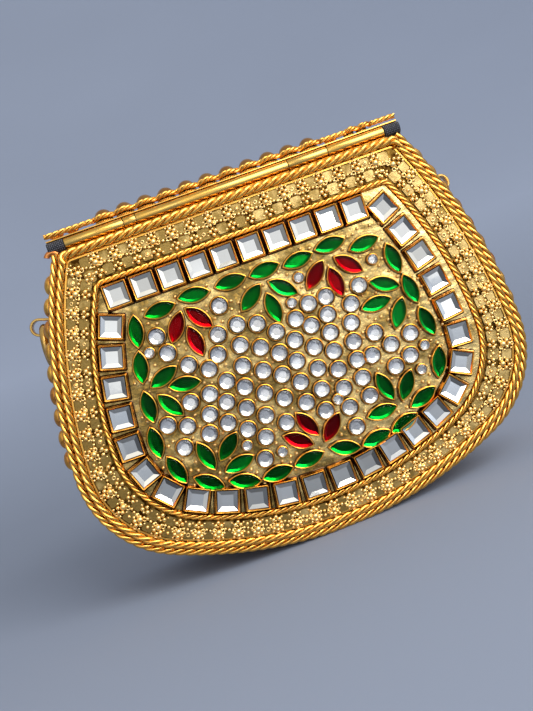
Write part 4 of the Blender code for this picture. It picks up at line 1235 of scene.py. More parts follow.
def border_frames(pitch):
    """Places along the middle of the border: place, run, outward normal, and reach both ways."""
    outer, inner = border_edges()
    outer.append(outer[0])
    inner.append(inner[0])
    length = path_length(outer)
    dense = [place for place, _ in spaced(outer, spread(0.0, length * 0.9999, 240))]
    loop = softened([place.lerp(nearest_on(inner, place), 0.5) for place in dense], 5 * MM)
    loop.append(loop[0])
    length = path_length(loop)
    count = round(length / pitch)
    frames = []
    stops = [length * (index + 0.5) / (2 * count) for index in range(2 * count)]
    for place, turn in chords(loop, stops, 2 * MM):
        run = Vector((math.cos(turn), math.sin(turn)))
        outward = Vector((run.y, -run.x))
        if outward.dot(place - Vector((0.0, 60 * MM))) < 0:
            outward = -outward
        frames.append((place, run, outward, ray_reach(outer, place, outward, 12 * MM),
                       ray_reach(inner, place, -outward, 12 * MM)))
    return frames, loop


class CLUTCH_OT_border(bpy.types.Operator):
    """Beaded flowers, hollow beads, chain and plates between the ropes"""
    bl_idname = "clutch.border"
    bl_label = "Border"

    def execute(self, context):
        given = context.scene.clutch.border
        picks = random.Random(given.seed)
        frames, loop = border_frames(given.pitch)
        bed = BORDER_Y - 0.7 * MM
        beads = Scatter()
        rings = Scatter()
        plates = Scatter()

        def at(spot, height):
            return Vector((spot.x, bed - height, spot.y))

        for number, (place, run, outward, out, inn) in enumerate(frames):
            along = Vector((run.x, 0.0, run.y))
            part = (out + inn) / (9.6 * MM)

            def spot_at(inside, aside=0.0):
                """A place at a distance inside the outer edge and to one side, both in millimetres."""
                shift = picks.uniform(-0.1, 0.1)
                return place + outward * (out - inside * part * MM) + run * (aside + shift) * MM

            if number % 2:
                for inside, wide, tall in ((2.6, 1.85, 1.85), (7.3, 1.95, 2.05)):
                    size = picks.uniform(0.92, 1.06)
                    spot = spot_at(inside)
                    if any((at(spot, given.plate / 2) - other).length < 2.3 * MM for other in plates.places):
                        continue
                    tall = min(tall * part, 2.5)
                    extent = (wide * size * MM, tall * size * MM, given.plate * picks.uniform(0.85, 1.1))
                    plates.add(at(spot, given.plate / 2), extent, FORWARD, along)
                    chance = picks.random()
                    if chance < 0.28:
                        rings.add(at(spot, given.plate + 0.1 * MM), given.ring * picks.uniform(0.7, 1.0))
                    if chance < 0.14 or chance > 0.84:
                        beads.add(at(spot, given.plate), given.granule * 0.8)
                continue
            rings.add(at(spot_at(0.55), 0.45 * MM), given.ring * 0.8)
            beads.add(at(spot_at(3.8), 0.55 * MM), given.bead * picks.uniform(0.92, 1.06))
            for inside, aside in ((1.5, 0.0), (2.4, -1.1), (2.4, 1.1), (7.2, -0.92), (7.2, 0.92), (8.6, 0.0)):
                beads.add(at(spot_at(inside, aside), 0.5 * MM), given.granule * picks.uniform(0.92, 1.12))
            for aside in (-1.35, 1.35):
                rings.add(at(spot_at(4.6, aside), 0.5 * MM), given.ring * picks.uniform(0.9, 1.05))
            for inside, aside in ((0.9, -1.5), (0.9, 1.5), (3.3, -2.0), (3.3, 2.0), (8.2, -1.9), (8.2, 1.9),
                                  (6.4, 0.1)):
                beads.add(at(spot_at(inside, aside), 0.3 * MM), given.granule * picks.uniform(0.5, 0.75))
        length = path_length(loop)
        count = round(length / (2.25 * given.chain))
        for index, (place, run) in enumerate(spaced(loop, [length * i / count for i in range(count)])):
            aside = Vector((run.y, -run.x)) * math.sin(index * TURN / (given.pitch / (2.25 * given.chain)))
            spot = place - aside * 0.35 * MM
            beads.add(at(spot, 0.42 * MM), given.chain * picks.uniform(0.9, 1.1))
        tucked = PANEL_ROPE_OFFSET + 0.35 * MM
        pair = even_pair(border_edges()[0], panel_path(tucked, PANEL_TOP + tucked), 160)
        piece("border_bed", strip("border_bed", pair[0], pair[1], bed, BORDER_Y, True), border_bed(), "flap",
              ("filigree_border",))
        outer = border_edges()[0]
        outer = softened(outer, 2 * MM)
        inner = offset_path(outer, 0.5 * MM, True)
        edging = strip("border_edging", outer, inner, bed - 0.4 * MM, bed - 0.1 * MM, True)
        piece("border_edging", edging, sheet_gold(), "flap")
        piece("border_beads", beads.mesh("border_beads", "ball", bead_gold()), None, "flap")
        piece("border_rings", rings.mesh("border_rings", "ring", bead_gold()), None, "flap")
        piece("border_plates", plates.mesh("border_plates", "plate", plate_gold()), None, "flap")
        return {"FINISHED"}


def square_places():
    """The row of square stones: along the top, then round the panel, closer in on the right."""
    path = panel_path(0.0, PANEL_TOP)
    half_top = path[0].x
    row = [(Vector((x, PANEL_TOP)), 0.0)
           for x in spread(-half_top + TOP_ROW_ENDS[0], half_top - TOP_ROW_ENDS[1], TOP_SQUARES)]
    stops = spread(ROUND_ROW_ENDS[0], path_length(path) - ROUND_ROW_ENDS[1], ROUND_ABOUT_SQUARES)
    for place, turn in chords(path, stops, SQUARE / 2):
        row.append((Vector((place.x * (RIGHT_TAKEN_IN if place.x > 0 else 1.0), place.y)), turn))
    return row


def stone_fronts():
    """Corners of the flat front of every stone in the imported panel, in the plane of the front."""
    work = bmesh.new()
    work.from_mesh(bpy.data.objects["inner_panel"].data)
    bmesh.ops.remove_doubles(work, verts=work.verts, dist=SAME_SPOT)
    level = min(vertex.co.y for vertex in work.verts) + SAME_LEVEL
    waiting = {face for face in work.faces if all(vertex.co.y < level for vertex in face.verts)}
    fronts = []
    while waiting:
        found = [waiting.pop()]
        corners = set()
        while found:
            around = found.pop().verts
            corners.update(around)
            beside = {face for corner in around for face in corner.link_faces} & waiting
            waiting -= beside
            found.extend(beside)
        fronts.append([Vector((corner.co.x, corner.co.z)) for corner in corners])
    work.free()
    return fronts


def clockwise(centre, start):
    """Key that sorts stones clockwise round a centre, from a direction."""
    def key(stone):
        away = stone[0] - centre
        return (start - math.atan2(away.y, away.x)) % TURN
    return key


def leaf_stones():
    """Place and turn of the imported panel's leaf-shaped stones: the green ones, vine first, and the red ones.

    The tips of a stone are the two corners of its front that lie furthest apart.
    """
    leaves = []
    for corners in stone_fronts():
        first, last = max(combinations(corners, 2), key=lambda pair: (pair[1] - pair[0]).length)
        run = last - first
        if len(corners) == LEAF_CORNERS and run.length > LEAF_FRONT:
            turn = math.atan2(run.y, run.x) % math.pi
            if turn > LEAF_TURNS_END:
                turn -= math.pi
            leaves.append(((first + last) / 2, turn))
    row = panel_path(0.0, PANEL_TOP)
    row.append(row[0])
    leaves.sort(key=lambda leaf: (nearest_on(row, leaf[0]) - leaf[0]).length)
    vine = sorted(leaves[:VINE_LEAVES], key=clockwise(VINE_CENTRE, math.pi / 2))
    roots = [Vector(root) * MM for root in GREEN_SPRIGS + RED_SPRIGS]
    sprigs = [[] for _ in roots]
    for leaf in leaves[VINE_LEAVES:]:
        nearest = min(range(len(roots)), key=lambda index: (leaf[0] - roots[index]).length)
        sprigs[nearest].append(leaf)
    if any(len(sprig) != LEAVES_IN_SPRIG for sprig in sprigs):
        raise RuntimeError("the packed panel doesn't hold the leaf stones that this script expects")
    sprigs = [sorted(sprig, key=clockwise(root, math.pi)) for root, sprig in zip(roots, sprigs)]
    greens = sum(sprigs[:len(GREEN_SPRIGS)], vine)
    reds = sum(sprigs[len(GREEN_SPRIGS):], [])
    return greens, reds


def round_places():
    """Round stones on their strings, each a smooth curve through three centres."""
    places = []
    for first, middle_spot, last, count in ROUND_STRINGS:
        first, middle_spot, last = (Vector(spot) * MM for spot in (first, middle_spot, last))
        pull = 2 * middle_spot - (first + last) / 2
        for index in range(count):
            share = index / (count - 1) if count > 1 else 0.0
            places.append(first.lerp(pull, share).lerp(pull.lerp(last, share), share))
    return places


def square_ring(size, inset):
    """A square with its corners just eased."""
    half = size / 2 - inset
    ease = 0.07 * half
    return [Vector(spot) for spot in ((-half + ease, -half), (half - ease, -half), (half, -half + ease),
                                      (half, half - ease), (half - ease, half), (-half + ease, half),
                                      (-half, half - ease), (-half, -half + ease))]


def plain_square(size, inset):
    half = size / 2 - inset
    return [Vector(spot) for spot in ((-half, -half), (half, -half), (half, half), (-half, half))]


def leaf_ring(size, inset, steps=12):
    """Two equal arcs that meet in a point at each end, drawn in by an inset."""
    long_half = size / 2
    wide_half = size / 2 * LEAF_WIDTH / LEAF_LENGTH
    radius = (long_half ** 2 + wide_half ** 2) / (2 * wide_half)
    back = radius - wide_half
    shorter = radius - inset
    reach = math.acos(back / shorter)
    ring = []
    for side in (1, -1):
        for step in range(steps):
            turn = side * (math.pi / 2) + reach * (1 - 2 * step / steps)
            ring.append(Vector((shorter * math.cos(turn), shorter * math.sin(turn) - side * back)))
    return [ring[0]] + ring[:0:-1]


def round_ring(size, inset, steps=28):
    radius = size / 2 - inset
    return [radius * Vector((math.cos(TURN * step / steps), math.sin(TURN * step / steps)))
            for step in range(steps)]


class Setter:
    """Builds settings and stones of one kind into a shared mesh."""

    def __init__(self, ring, size):
        self.ring = ring
        self.size = size
        self.ground = panel_ground()
        self.work = bmesh.new()
        self.tone = self.work.verts.layers.float.new("tone")

    def set(self, place, turn, levels, tone=0.0, tilt=(0.0, 0.0)):
        """One closed body through rings at (inset, height) levels."""
        rings = []
        for inset, height in levels:
            ring = []
            for spot in self.ring(self.size, inset):
                x = place.x + spot.x * math.cos(turn) - spot.y * math.sin(turn)
                z = place.y + spot.x * math.sin(turn) + spot.y * math.cos(turn)
                lift = height + spot.x * tilt[0] + spot.y * tilt[1]
                ring.append(Vector((x, self.ground - lift, z)))
            rings.append(ring)
        for ring in skin(self.work, rings):
            for vertex in ring:
                vertex[self.tone] = tone

    def mesh(self, name, sharp=math.radians(40)):
        return mesh_of(name, self.work, sharp)


def shaded_facets(mesh, slope, level=0.0):
    """Mark how far each facet leans down and to the left, away from the key lamp: painted shade on the foil
    there, and painted light where a facet leans the other way. A flat one has the level.
    """
    layer = mesh.attributes.new("dull", "FLOAT", "FACE")
    lean = Vector((-0.93, 0.0, -0.37)) / math.sin(slope)
    values = []
    for face in mesh.polygons:
        share = face.normal.dot(lean)
        values.append(min(max(level + share * (1 - level if share > 0 else max(level, 0.01)), 0.0), 1.0))
    layer.data.foreach_set("value", values)
    return mesh


class CLUTCH_OT_panel(bpy.types.Operator):
    """Hammered sheet between the ropes, with granules in its gaps"""
    bl_idname = "clutch.panel"
    bl_label = "Panel sheet"

    def execute(self, context):
        front = panel_ground()
        edge = PANEL_ROPE_OFFSET - 1.1 * MM
        path = panel_path(edge, PANEL_TOP + edge)
        piece("stone_sheet", slab("stone_sheet", path, front, PLATE_Y - 0.3 * MM), hammered_gold(), "flap",
              ("inner_panel",))
        picks = random.Random(context.scene.clutch.stones.seed)
        taken = [(place, ROUND_ROOM) for place in round_places()]
        taken += [(Vector(spot) * MM, SMALL_ROUND_ROOM) for spot in SMALL_ROUNDS]
        greens, reds = leaf_stones()
        for place, turn in greens + reds:
            run = Vector((math.cos(turn), math.sin(turn)))
            for share, radius in LEAF_ROOM:
                taken.append((place + run * LEAF_LENGTH * share, radius * MM))
        inner = panel_path(-GRANULE_FIELD, PANEL_TOP - GRANULE_FIELD)
        low = min(point.y for point in inner)
        granules = Scatter()
        for _ in range(GRANULE_TRIES):
            spot = Vector((picks.uniform(-HALF_WIDTH, HALF_WIDTH),
                           picks.uniform(low, PANEL_TOP - GRANULE_FIELD)))
            ends = [point.x for point in inner if abs(point.y - spot.y) < 2 * MM]
            if not ends or not min(ends) < spot.x < max(ends):
                continue
            room = min((place - spot).length - radius for place, radius in taken)
            if room < GRANULE_LEAST:
                continue
            radius = min(room, GRANULE_MOST)
            taken.append((spot, radius + GRANULE_GAP))
            granules.add(Vector((spot.x, front - 0.25 * MM, spot.y)), radius)
        piece("sheet_granules", granules.mesh("sheet_granules", "ball", bead_gold()), None, "flap")
        return {"FINISHED"}


def panel_ground():
    """Depth of the sheet's front face."""
    return PLATE_Y - 1.1 * MM


class CLUTCH_OT_squares(bpy.types.Operator):
    """Row of bevelled square mirrors in their box bezels"""
    bl_idname = "clutch.squares"
    bl_label = "Square stones"

    def execute(self, context):
        given = context.scene.clutch.stones
        picks = random.Random(given.seed)
        wall = given.square_wall
        bezels = Setter(square_ring, SQUARE + 0.1 * MM)
        stones = Setter(plain_square, SQUARE)
        rim = 0.98 * MM
        table = 2.3 * MM
        drop = math.tan(given.bevel) * (table - rim)
        bezel = ((-0.34 * MM, -0.2 * MM), (-0.34 * MM, 0.12 * MM), (-0.1 * MM, 0.3 * MM),
                 (0.34 * MM, wall - 0.25 * MM), (0.40 * MM, wall - 0.06 * MM),
                 (0.48 * MM, wall), (0.62 * MM, wall - 0.05 * MM), (0.78 * MM, wall - 0.4 * MM),
                 (1.0 * MM, wall - 0.8 * MM), (1.0 * MM, 0.1 * MM))
        for place, turn in square_places():
            bezels.set(place, turn, bezel)
            tilt = [math.tan(picks.uniform(-given.wobble, given.wobble)) for _ in range(2)]
            top = wall - 0.5 * MM
            stone = ((rim, 0.2 * MM), (rim, top), (table, top - drop))
            stones.set(place, turn, stone, picks.uniform(0.0, 1.0), tilt)
        piece("square_bezels", bezels.mesh("square_bezels"), bezel_gold(), "flap")
        piece("square_mirrors", shaded_facets(stones.mesh("square_mirrors", math.radians(5)), given.bevel),
              square_silver(), "flap")
        return {"FINISHED"}


class CLUTCH_OT_leaves(bpy.types.Operator):
    """Green and red leaf-shaped stones over their foil"""
    bl_idname = "clutch.leaves"
    bl_label = "Leaf stones"

    def execute(self, context):
        given = context.scene.clutch.stones
        picks = random.Random(given.seed + 1)
        wall = given.leaf_wall
        greens, reds = leaf_stones()
        bezels = Setter(leaf_ring, LEAF_OVER_ALL)
        bezel = ((-0.14 * MM, -0.2 * MM), (-0.14 * MM, 0.05 * MM), (0.0, 0.12 * MM),
                 (0.12 * MM, wall - 0.3 * MM), (0.22 * MM, wall - 0.06 * MM),
                 (0.36 * MM, wall), (0.52 * MM, wall - 0.12 * MM), (0.58 * MM, wall - 0.5 * MM),
                 (0.58 * MM, 0.1 * MM))
        for place, turn in greens + reds:
            bezels.set(place, turn, bezel)
        piece("leaf_bezels", bezels.mesh("leaf_bezels"), bezel_gold(), "flap")
        back = ((0.56 * MM, 0.1 * MM), (0.56 * MM, wall - 0.55 * MM), (1.5 * MM, wall - 0.95 * MM))
        crown = ((0.60 * MM, wall - 0.5 * MM), (0.60 * MM, wall - 0.32 * MM), (0.82 * MM, wall - 0.08 * MM),
                 (1.12 * MM, wall + 0.10 * MM), (1.5 * MM, wall + 0.22 * MM), (2.0 * MM, wall + 0.27 * MM))
        for label, places, behind, over in (("green", greens, green_foil(), green_glass()),
                                            ("red", reds, red_foil(), red_glass())):
            foils = Setter(leaf_ring, LEAF_OVER_ALL)
            stones = Setter(leaf_ring, LEAF_OVER_ALL)
            for place, turn in places:
                tilt = [math.tan(picks.uniform(-0.07, 0.07)) for _ in range(2)]
                # paler towards the right as painted light from the right, with a random share for each stone
                tone = 0.4 + 9 * place.x + picks.uniform(-0.3, 0.3)
                foils.set(place, turn, back, min(max(tone, 0.0), 1.0), tilt)
                stones.set(place, turn, crown)
            behind_mesh = foils.mesh(label + "_foils", math.radians(20))
            shaded_facets(behind_mesh, math.radians(23), LEAF_FOIL_LEVEL)
            piece(label + "_foils", behind_mesh, behind, "flap")
            piece(label + "_stones", stones.mesh(label + "_stones", GLASS_SHARP), over, "flap")
        return {"FINISHED"}


class CLUTCH_OT_rounds(bpy.types.Operator):
    """Round foiled stones on their strings"""
    bl_idname = "clutch.rounds"
    bl_label = "Round stones"

    def execute(self, context):
        given = context.scene.clutch.stones
        picks = random.Random(given.seed + 2)
        wall = given.round_wall
        small_places = [Vector(spot) * MM for spot in SMALL_ROUNDS]
        kinds = ((given.round_stone, round_places()), (given.small_stone, small_places))
        bezel_meshes = []
        foil_meshes = []
        glass_meshes = []
        for size, places in kinds:
            part = size / given.round_stone
            bezels = Setter(round_ring, size)
            foils = Setter(lambda total, inset: round_ring(total, inset, 14), size)
            stones = Setter(round_ring, size)
            bezel = ((-0.14 * MM, -0.2 * MM), (-0.14 * MM, 0.05 * MM), (0.0, 0.12 * MM),
                     (0.05 * MM, wall - 0.35 * MM),
                     (0.16 * MM, wall - 0.08 * MM), (0.32 * MM, wall), (0.44 * MM, wall - 0.1 * MM),
                     (0.52 * MM, wall - 0.4 * MM), (0.52 * MM, 0.1 * MM))
            back = ((0.5 * MM, 0.1 * MM), (0.5 * MM, wall - 0.5 * MM), (1.9 * MM * part, wall - 1.0 * MM))
            crown = ((0.54 * MM, wall - 0.45 * MM), (0.54 * MM, wall - 0.28 * MM),
                     (0.72 * MM * part, wall - 0.1 * MM), (1.2 * MM * part, wall + 0.08 * MM),
                     (1.9 * MM * part, wall + 0.18 * MM), (2.6 * MM * part, wall + 0.21 * MM))
            for place in places:
                bezels.set(place, 0.0, bezel)
                tilt = [math.tan(picks.uniform(-0.06, 0.06)) for _ in range(2)]
                foils.set(place, picks.uniform(0.0, TURN), back, picks.uniform(0.0, 1.0), tilt)
                stones.set(place, 0.0, crown)
            bezel_meshes.append(bezels.mesh("round_bezels"))
            foil_mesh = foils.mesh("round_foils", math.radians(5))
            foil_meshes.append(shaded_facets(foil_mesh, math.radians(21), ROUND_FOIL_LEVEL))
            glass_meshes.append(stones.mesh("round_glass", GLASS_SHARP))
        piece("round_bezels", joined("round_bezels", bezel_meshes), bezel_gold(), "flap")
        piece("round_foils", joined("round_foils", foil_meshes), round_silver(), "flap")
        piece("round_glass", joined("round_glass", glass_meshes), clear_glass(), "flap")
        return {"FINISHED"}


class CLUTCH_OT_plates(bpy.types.Operator):
    """Smooth sheets: flap plate, ledge, side band, top strip and back"""
    bl_idname = "clutch.plates"
    bl_label = "Sheets"

    def execute(self, context):
        path = body_path(2.7 * MM, PLATE_TOP)
        piece("flap_back", slab("flap_back", path, PLATE_Y, PLATE_BACK_Y), sheet_gold(), "flap",
              ("flap_plate",))
        low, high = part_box("side_band")
        top = high.z
        pair = even_pair(body_path(BAND_INSET, top), body_path(1.8 * MM, top), 180)
        piece("band", strip("band", pair[0], pair[1], low.y, high.y), side_copper(), "body",
              ("side_band",))
        low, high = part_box("top_strip")
        sheet = bevelled("strip", low, (high.x, high.y, SEAT_Z), 0.1 * MM)
        piece("strip", sheet, sheet_gold(), "body", ("top_strip",))
        self.ledge()
        self.back()
        return {"FINISHED"}

    def ledge(self):
        low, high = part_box("rim_ledge")
        outer = body_path(2.1 * MM, high.z)
        inner = body_path(8.7 * MM, high.z)
        pair = even_pair(outer, inner, 150)
        ledge = strip("ledge", pair[0], pair[1], LEDGE_Y, LEDGE_Y + 1.2 * MM)
        work = bmesh.new()
        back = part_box("closure_magnet")[0].y - GAP
        wide, narrow = 6 * MM, 4 * MM
        foot, shoulder, tip = 4.1 * MM, 18 * MM, 20.5 * MM
        tongue = [Vector(spot) for spot in ((-wide, foot), (wide, foot), (wide, shoulder),
                                            (narrow, tip), (-narrow, tip), (-wide, shoulder))]
        skin(work, [in_front(tongue, back - 1.2 * MM), in_front(tongue, back)])
        piece("inner_ledge", joined("inner_ledge", [ledge, mesh_of("tongue", work)]), sheet_gold(), "body",
              ("rim_ledge",))

    def back(self):
        """Pressed sheet with a raised field and a soft shoulder."""
        low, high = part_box("back_panel")
        sheet = 1.0 * MM
        rise = high.y - low.y - sheet
        shoulder = 12 * MM
        steps = 12
        outside = []
        inside = []
        for step in range(steps + 1):
            share = step / steps
            inset = 2.7 * MM + share * shoulder
            loop = framed(body_path(inset, TOP_Z - inset), 140, 30)
            lift = low.y + rise * (3 * share ** 2 - 2 * share ** 3)
            outside.append(in_front(loop, lift + sheet))
            inside.append(in_front(loop, lift))
        work = bmesh.new()
        skin(work, outside[::-1] + inside)
        piece("back_sheet", mesh_of("back_sheet", work, math.radians(50)), sheet_gold(), "body",
              ("back_panel",))


class CLUTCH_OT_hinge(bpy.types.Operator):
    """Knuckles, leaves and pin of the barrel hinge"""
    bl_idname = "clutch.hinge"
    bl_label = "Hinge"

    def execute(self, context):
        radius = context.scene.clutch.hinge.barrel / 2
        total = sum(length for _, length in KNUCKLES) * MM
        at = -total / 2
        leaf_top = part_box("hinge_body_leaf")[1].z
        leaf_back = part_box("hinge_body_leaf")[1].y
        leaf_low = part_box("hinge_flap_leaf")[0].z
        left, right = at + GAP / 2, -at - GAP / 2
        clear = radius + GAP * 0.6
        body_leaf = bevelled("leaf", (left, HINGE_Y + clear, leaf_top - LEAF_SHEET),
                             (right, leaf_back, leaf_top))
        flap_leaf = bevelled("leaf", (left, LEDGE_Y, leaf_low),
                             (right, LEDGE_Y + LEAF_SHEET, HINGE_Z - clear))
        parts = {"body": [body_leaf], "flap": [flap_leaf]}
        for owner, length in KNUCKLES:
            start, end = at + GAP / 3, at + length * MM - GAP / 3
            parts[owner].append(bar("knuckle", start, end, radius))
            if owner == "body":
                neck = bevelled("neck", (start, HINGE_Y, leaf_top - LEAF_SHEET),
                                (end, HINGE_Y + clear + 1.0 * MM, leaf_top))
            else:
                neck = bevelled("neck", (start, LEDGE_Y, HINGE_Z - clear - 1.0 * MM),
                                (end, LEDGE_Y + LEAF_SHEET, HINGE_Z))
            parts[owner].append(neck)
            at += length * MM
        for owner, node_name in (("body", "hinge_body_leaf"), ("flap", "hinge_flap_leaf")):
            piece("hinge_" + owner, joined("hinge_" + owner, parts[owner]), satin_gold(), owner,
                  (node_name,))
        piece("pin", bar("pin", left, right, 0.7 * MM, 0.1 * MM), steel(), "body", ("hinge_pin",))
        return {"FINISHED"}


class CLUTCH_OT_cloth(bpy.types.Operator):
    """Woven tape behind the hinge, rolled at its ends, and the velvet linings"""
    bl_idname = "clutch.cloth"
    bl_label = "Cloth"

    def execute(self, context):
        given = context.scene.clutch.hinge
        picks = random.Random(given.seed)
        low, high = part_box("fabric_rail")
        rail_front = HINGE_Y + 1.8 * MM + GAP
        parts = [bevelled("rail", (low.x + RAIL_END, rail_front, low.z),
                          (high.x - RAIL_END, high.y, high.z - 0.4 * MM), 0.3 * MM)]
        inner = sum(length for _, length in KNUCKLES) * MM / 2 + 0.1 * MM
        for side in (-1, 1):
            rows = []
            for step in range(17):
                x = side * (inner + (high.x - inner) * step / 16)
                swell = 1.0 + picks.uniform(-0.012, 0.012) - (0.06 if step in (0, 16) else 0.0)
                radius = given.roll / 2 * swell
                turns = [math.pi * part / 20 for part in range(21)]
                arc = [(HINGE_Y - radius * math.sin(turn), HINGE_Z + radius * math.cos(turn))
                       for turn in turns]
                back = rail_front + 0.3 * MM
                rows.append([Vector((x, y, z)) for y, z in [(back, arc[0][1])] + arc + [(back, arc[-1][1])]])
            work = bmesh.new()
            skin(work, rows)
            parts.append(mesh_of("roll", work))
        piece("tape", joined("tape", parts), black_weave(), "body", ("fabric_rail",))
        self.pan()
        low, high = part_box("flap_lining")
        path = softened(body_path(LINING_INSET, high.z), 3 * MM)
        lining = slab("flap_velvet", path, high.y - 0.06 * MM, LEDGE_Y, 0.25 * MM)
        piece("flap_velvet", lining, velvet(), "flap", ("flap_lining",))
        return {"FINISHED"}

    def pan(self):
        """Lined well of the body, its inner corners rounded."""
        low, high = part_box("body_lining")
        rings = []
        for inset, depth in ((2.4, high.y), (2.1, high.y - 0.4 * MM), (2.1, low.y + 0.4 * MM), (2.4, low.y),
                             (3.0, low.y), (3.3, low.y + 0.4 * MM), (3.3, high.y - 4.2 * MM),
                             (3.8, high.y - 2.4 * MM), (5.0, high.y - 1.5 * MM), (7.0, high.y - 1.2 * MM)):
            inset = inset * MM
            loop = framed(body_path(inset, high.z + 2.1 * MM - inset), 150, 40)
            rings.append(in_front(loop, depth))
        work = bmesh.new()
        skin(work, rings)
        piece("well_velvet", mesh_of("well_velvet", work, math.radians(60)), velvet(), "body",
              ("body_lining",))


class CLUTCH_OT_domes(bpy.types.Operator):
    """Domes in rings of rope along the top and down both sides"""
    bl_idname = "clutch.domes"
    bl_label = "Domes"

    def dome(self, foot, axis, size, rise, lift):
        """A cap that stands on a ring of rope: foot, flare and a round top."""
        steps = 8
        radius = size / 2 - 0.2 * MM
        profile = [(radius * 0.64, -0.2 * MM), (radius * 0.64, lift - 0.25 * MM),
                   (radius * 0.95, lift - 0.15 * MM)]
        for step in range(steps + 1):
            turn = math.pi / 2 * step / steps
            profile.append((max(radius * math.cos(turn), 0.02 * MM), lift + (rise - lift) * math.sin(turn)))
        return turned("dome", profile, foot, axis, 24)

    def loop(self, foot, axis, across, size, wire):
        """Places of the rope ring round a dome, with the normal of its plane."""
        radius = size / 2 - wire / 2
        aside = axis.cross(across)
        steps = 40
        ring = []
        for step in range(steps):
            turn = TURN * step / steps
            spoke = across * math.cos(turn) + aside * math.sin(turn)
            ring.append(foot + axis * wire * 0.48 + radius * spoke)
        return ring, [-axis] * steps, True

    def execute(self, context):
        given = context.scene.clutch.ropes
        y = ROPE_Y + DOME_SET_BACK
        up = Vector((0, 0, 1))
        names = ["top_dome_%02d" % (index + 1) for index in range(11)] + ["end_dome_1", "end_dome_2"]
        domes, loops = [], []
        for x, size in TOP_DOMES:
            size = size * MM
            foot = Vector((x * MM, y, SEAT_Z))
            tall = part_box(names[0])[1].z - SEAT_Z
            domes.append(self.dome(foot, up, size, tall if size == DOME else tall * 0.67, 1.5 * MM))
            loops.append(self.loop(foot, up, Vector((1, 0, 0)), size, given.ring))
        for x, size in BARE_RINGS:
            foot = Vector((x * MM, y - 1.6 * MM, SEAT_Z + 0.8 * MM))
            loops.append(self.loop(foot, up, Vector((1, 0, 0)), size * MM, given.ring))
        piece("top_domes", joined("top_domes", domes), dome_gold(), "body", names)
        twists = grown("top_dome_ropes", line_mesh("loops", loops), "rope", rope_gold(),
                       Thickness=given.ring, Lay=RING_LAY, Sides=6)
        piece("top_dome_ropes", twists, None, "body")
        domes, loops = [], []
        path = body_path(BAND_INSET, RIM_Z)
        length = path_length(path)
        stops = [SIDE_DOMES_START + index * DOME_PITCH for index in range(SIDE_DOMES)]
        for spot, turn in chords(path, stops + sorted(length - stop for stop in stops), DOME / 2):
            outward = Vector((-math.sin(turn), 0, math.cos(turn)))
            outward *= math.copysign(1.0, outward.x * spot.x)
            foot = Vector((spot.x, y, spot.y))
            across = Vector((math.cos(turn), 0, math.sin(turn)))
            domes.append(self.dome(foot, outward, DOME, 3.0 * MM, 1.1 * MM))
            loops.append(self.loop(foot, outward, across, DOME, given.ring))
        piece("side_domes", joined("side_domes", domes), side_copper(), "body")
        twists = grown("side_dome_ropes", line_mesh("loops", loops), "rope", rope_copper(),
                       Thickness=given.ring, Lay=RING_LAY, Sides=6)
        piece("side_dome_ropes", twists, None, "body")
        return {"FINISHED"}


class CLUTCH_OT_rings(bpy.types.Operator):
    """Strap rings in their eyes"""
    bl_idname = "clutch.rings"
    bl_label = "Strap rings"

    def execute(self, context):
        edge = spaced(body_path(BAND_INSET, RIM_Z), spread(0, 0.06, 600))
        foot, direction = next((place, run) for place, run in edge if place.y <= RIM_Z - EYE_DROP)
        outward = Vector((-direction.y, direction.x))
        outward *= math.copysign(1.0, outward.x)
        hang = foot + outward * (EYE_HEIGHT - EYE_SHEET - 2 * GAP - RING_WIRE / 2)
        deep = Vector((0, 1, 0))
        for side_name, sign in (("left", -1), ("right", 1)):
            def place_of(spot):
                return Vector((sign * spot.x, 0.0, spot.y))

            reach = EYE_SPAN / 2 - EYE_SHEET / 2
            straight = EYE_HEIGHT + EYE_EASE - EYE_SPAN / 2
            sunk = outward * 0.2 * MM
            frames = [(place_of(foot - direction * reach - sunk), place_of(-direction), deep)]
            for step in range(21):
                turn = math.pi * step / 20
                away = outward * math.sin(turn) - direction * math.cos(turn)
                frames.append((place_of(foot + outward * straight + away * reach), place_of(away), deep))
            frames.append((place_of(foot + direction * reach - sunk), place_of(direction), deep))
            piece("eye_" + side_name + "_arch",
                  swept("eye_" + side_name, frames, rounded_section(EYE_SHEET, EYE_WIDTH, 0.22 * MM)),
                  ring_gold(), "body", ("eye_" + side_name,))
            fall = Vector((math.sin(RING_LEAN), -math.cos(RING_LEAN)))
            centre = hang + fall * (RING_OUTER - RING_WIRE) / 2
            normal = place_of(Vector((-fall.y, fall.x)))
            frames = []
            for step in range(72):
                turn = TURN * step / 72
                spoke = place_of(-fall) * math.cos(turn) + deep * math.sin(turn)
                frames.append((place_of(centre) + spoke * (RING_OUTER - RING_WIRE) / 2, spoke, normal))
            piece("strap_ring_" + side_name,
                  swept("strap_ring_" + side_name, frames, circle(RING_WIRE / 2, 18), True),
                  ring_gold(), "ring_" + side_name, ("ring_" + side_name,))
        return {"FINISHED"}


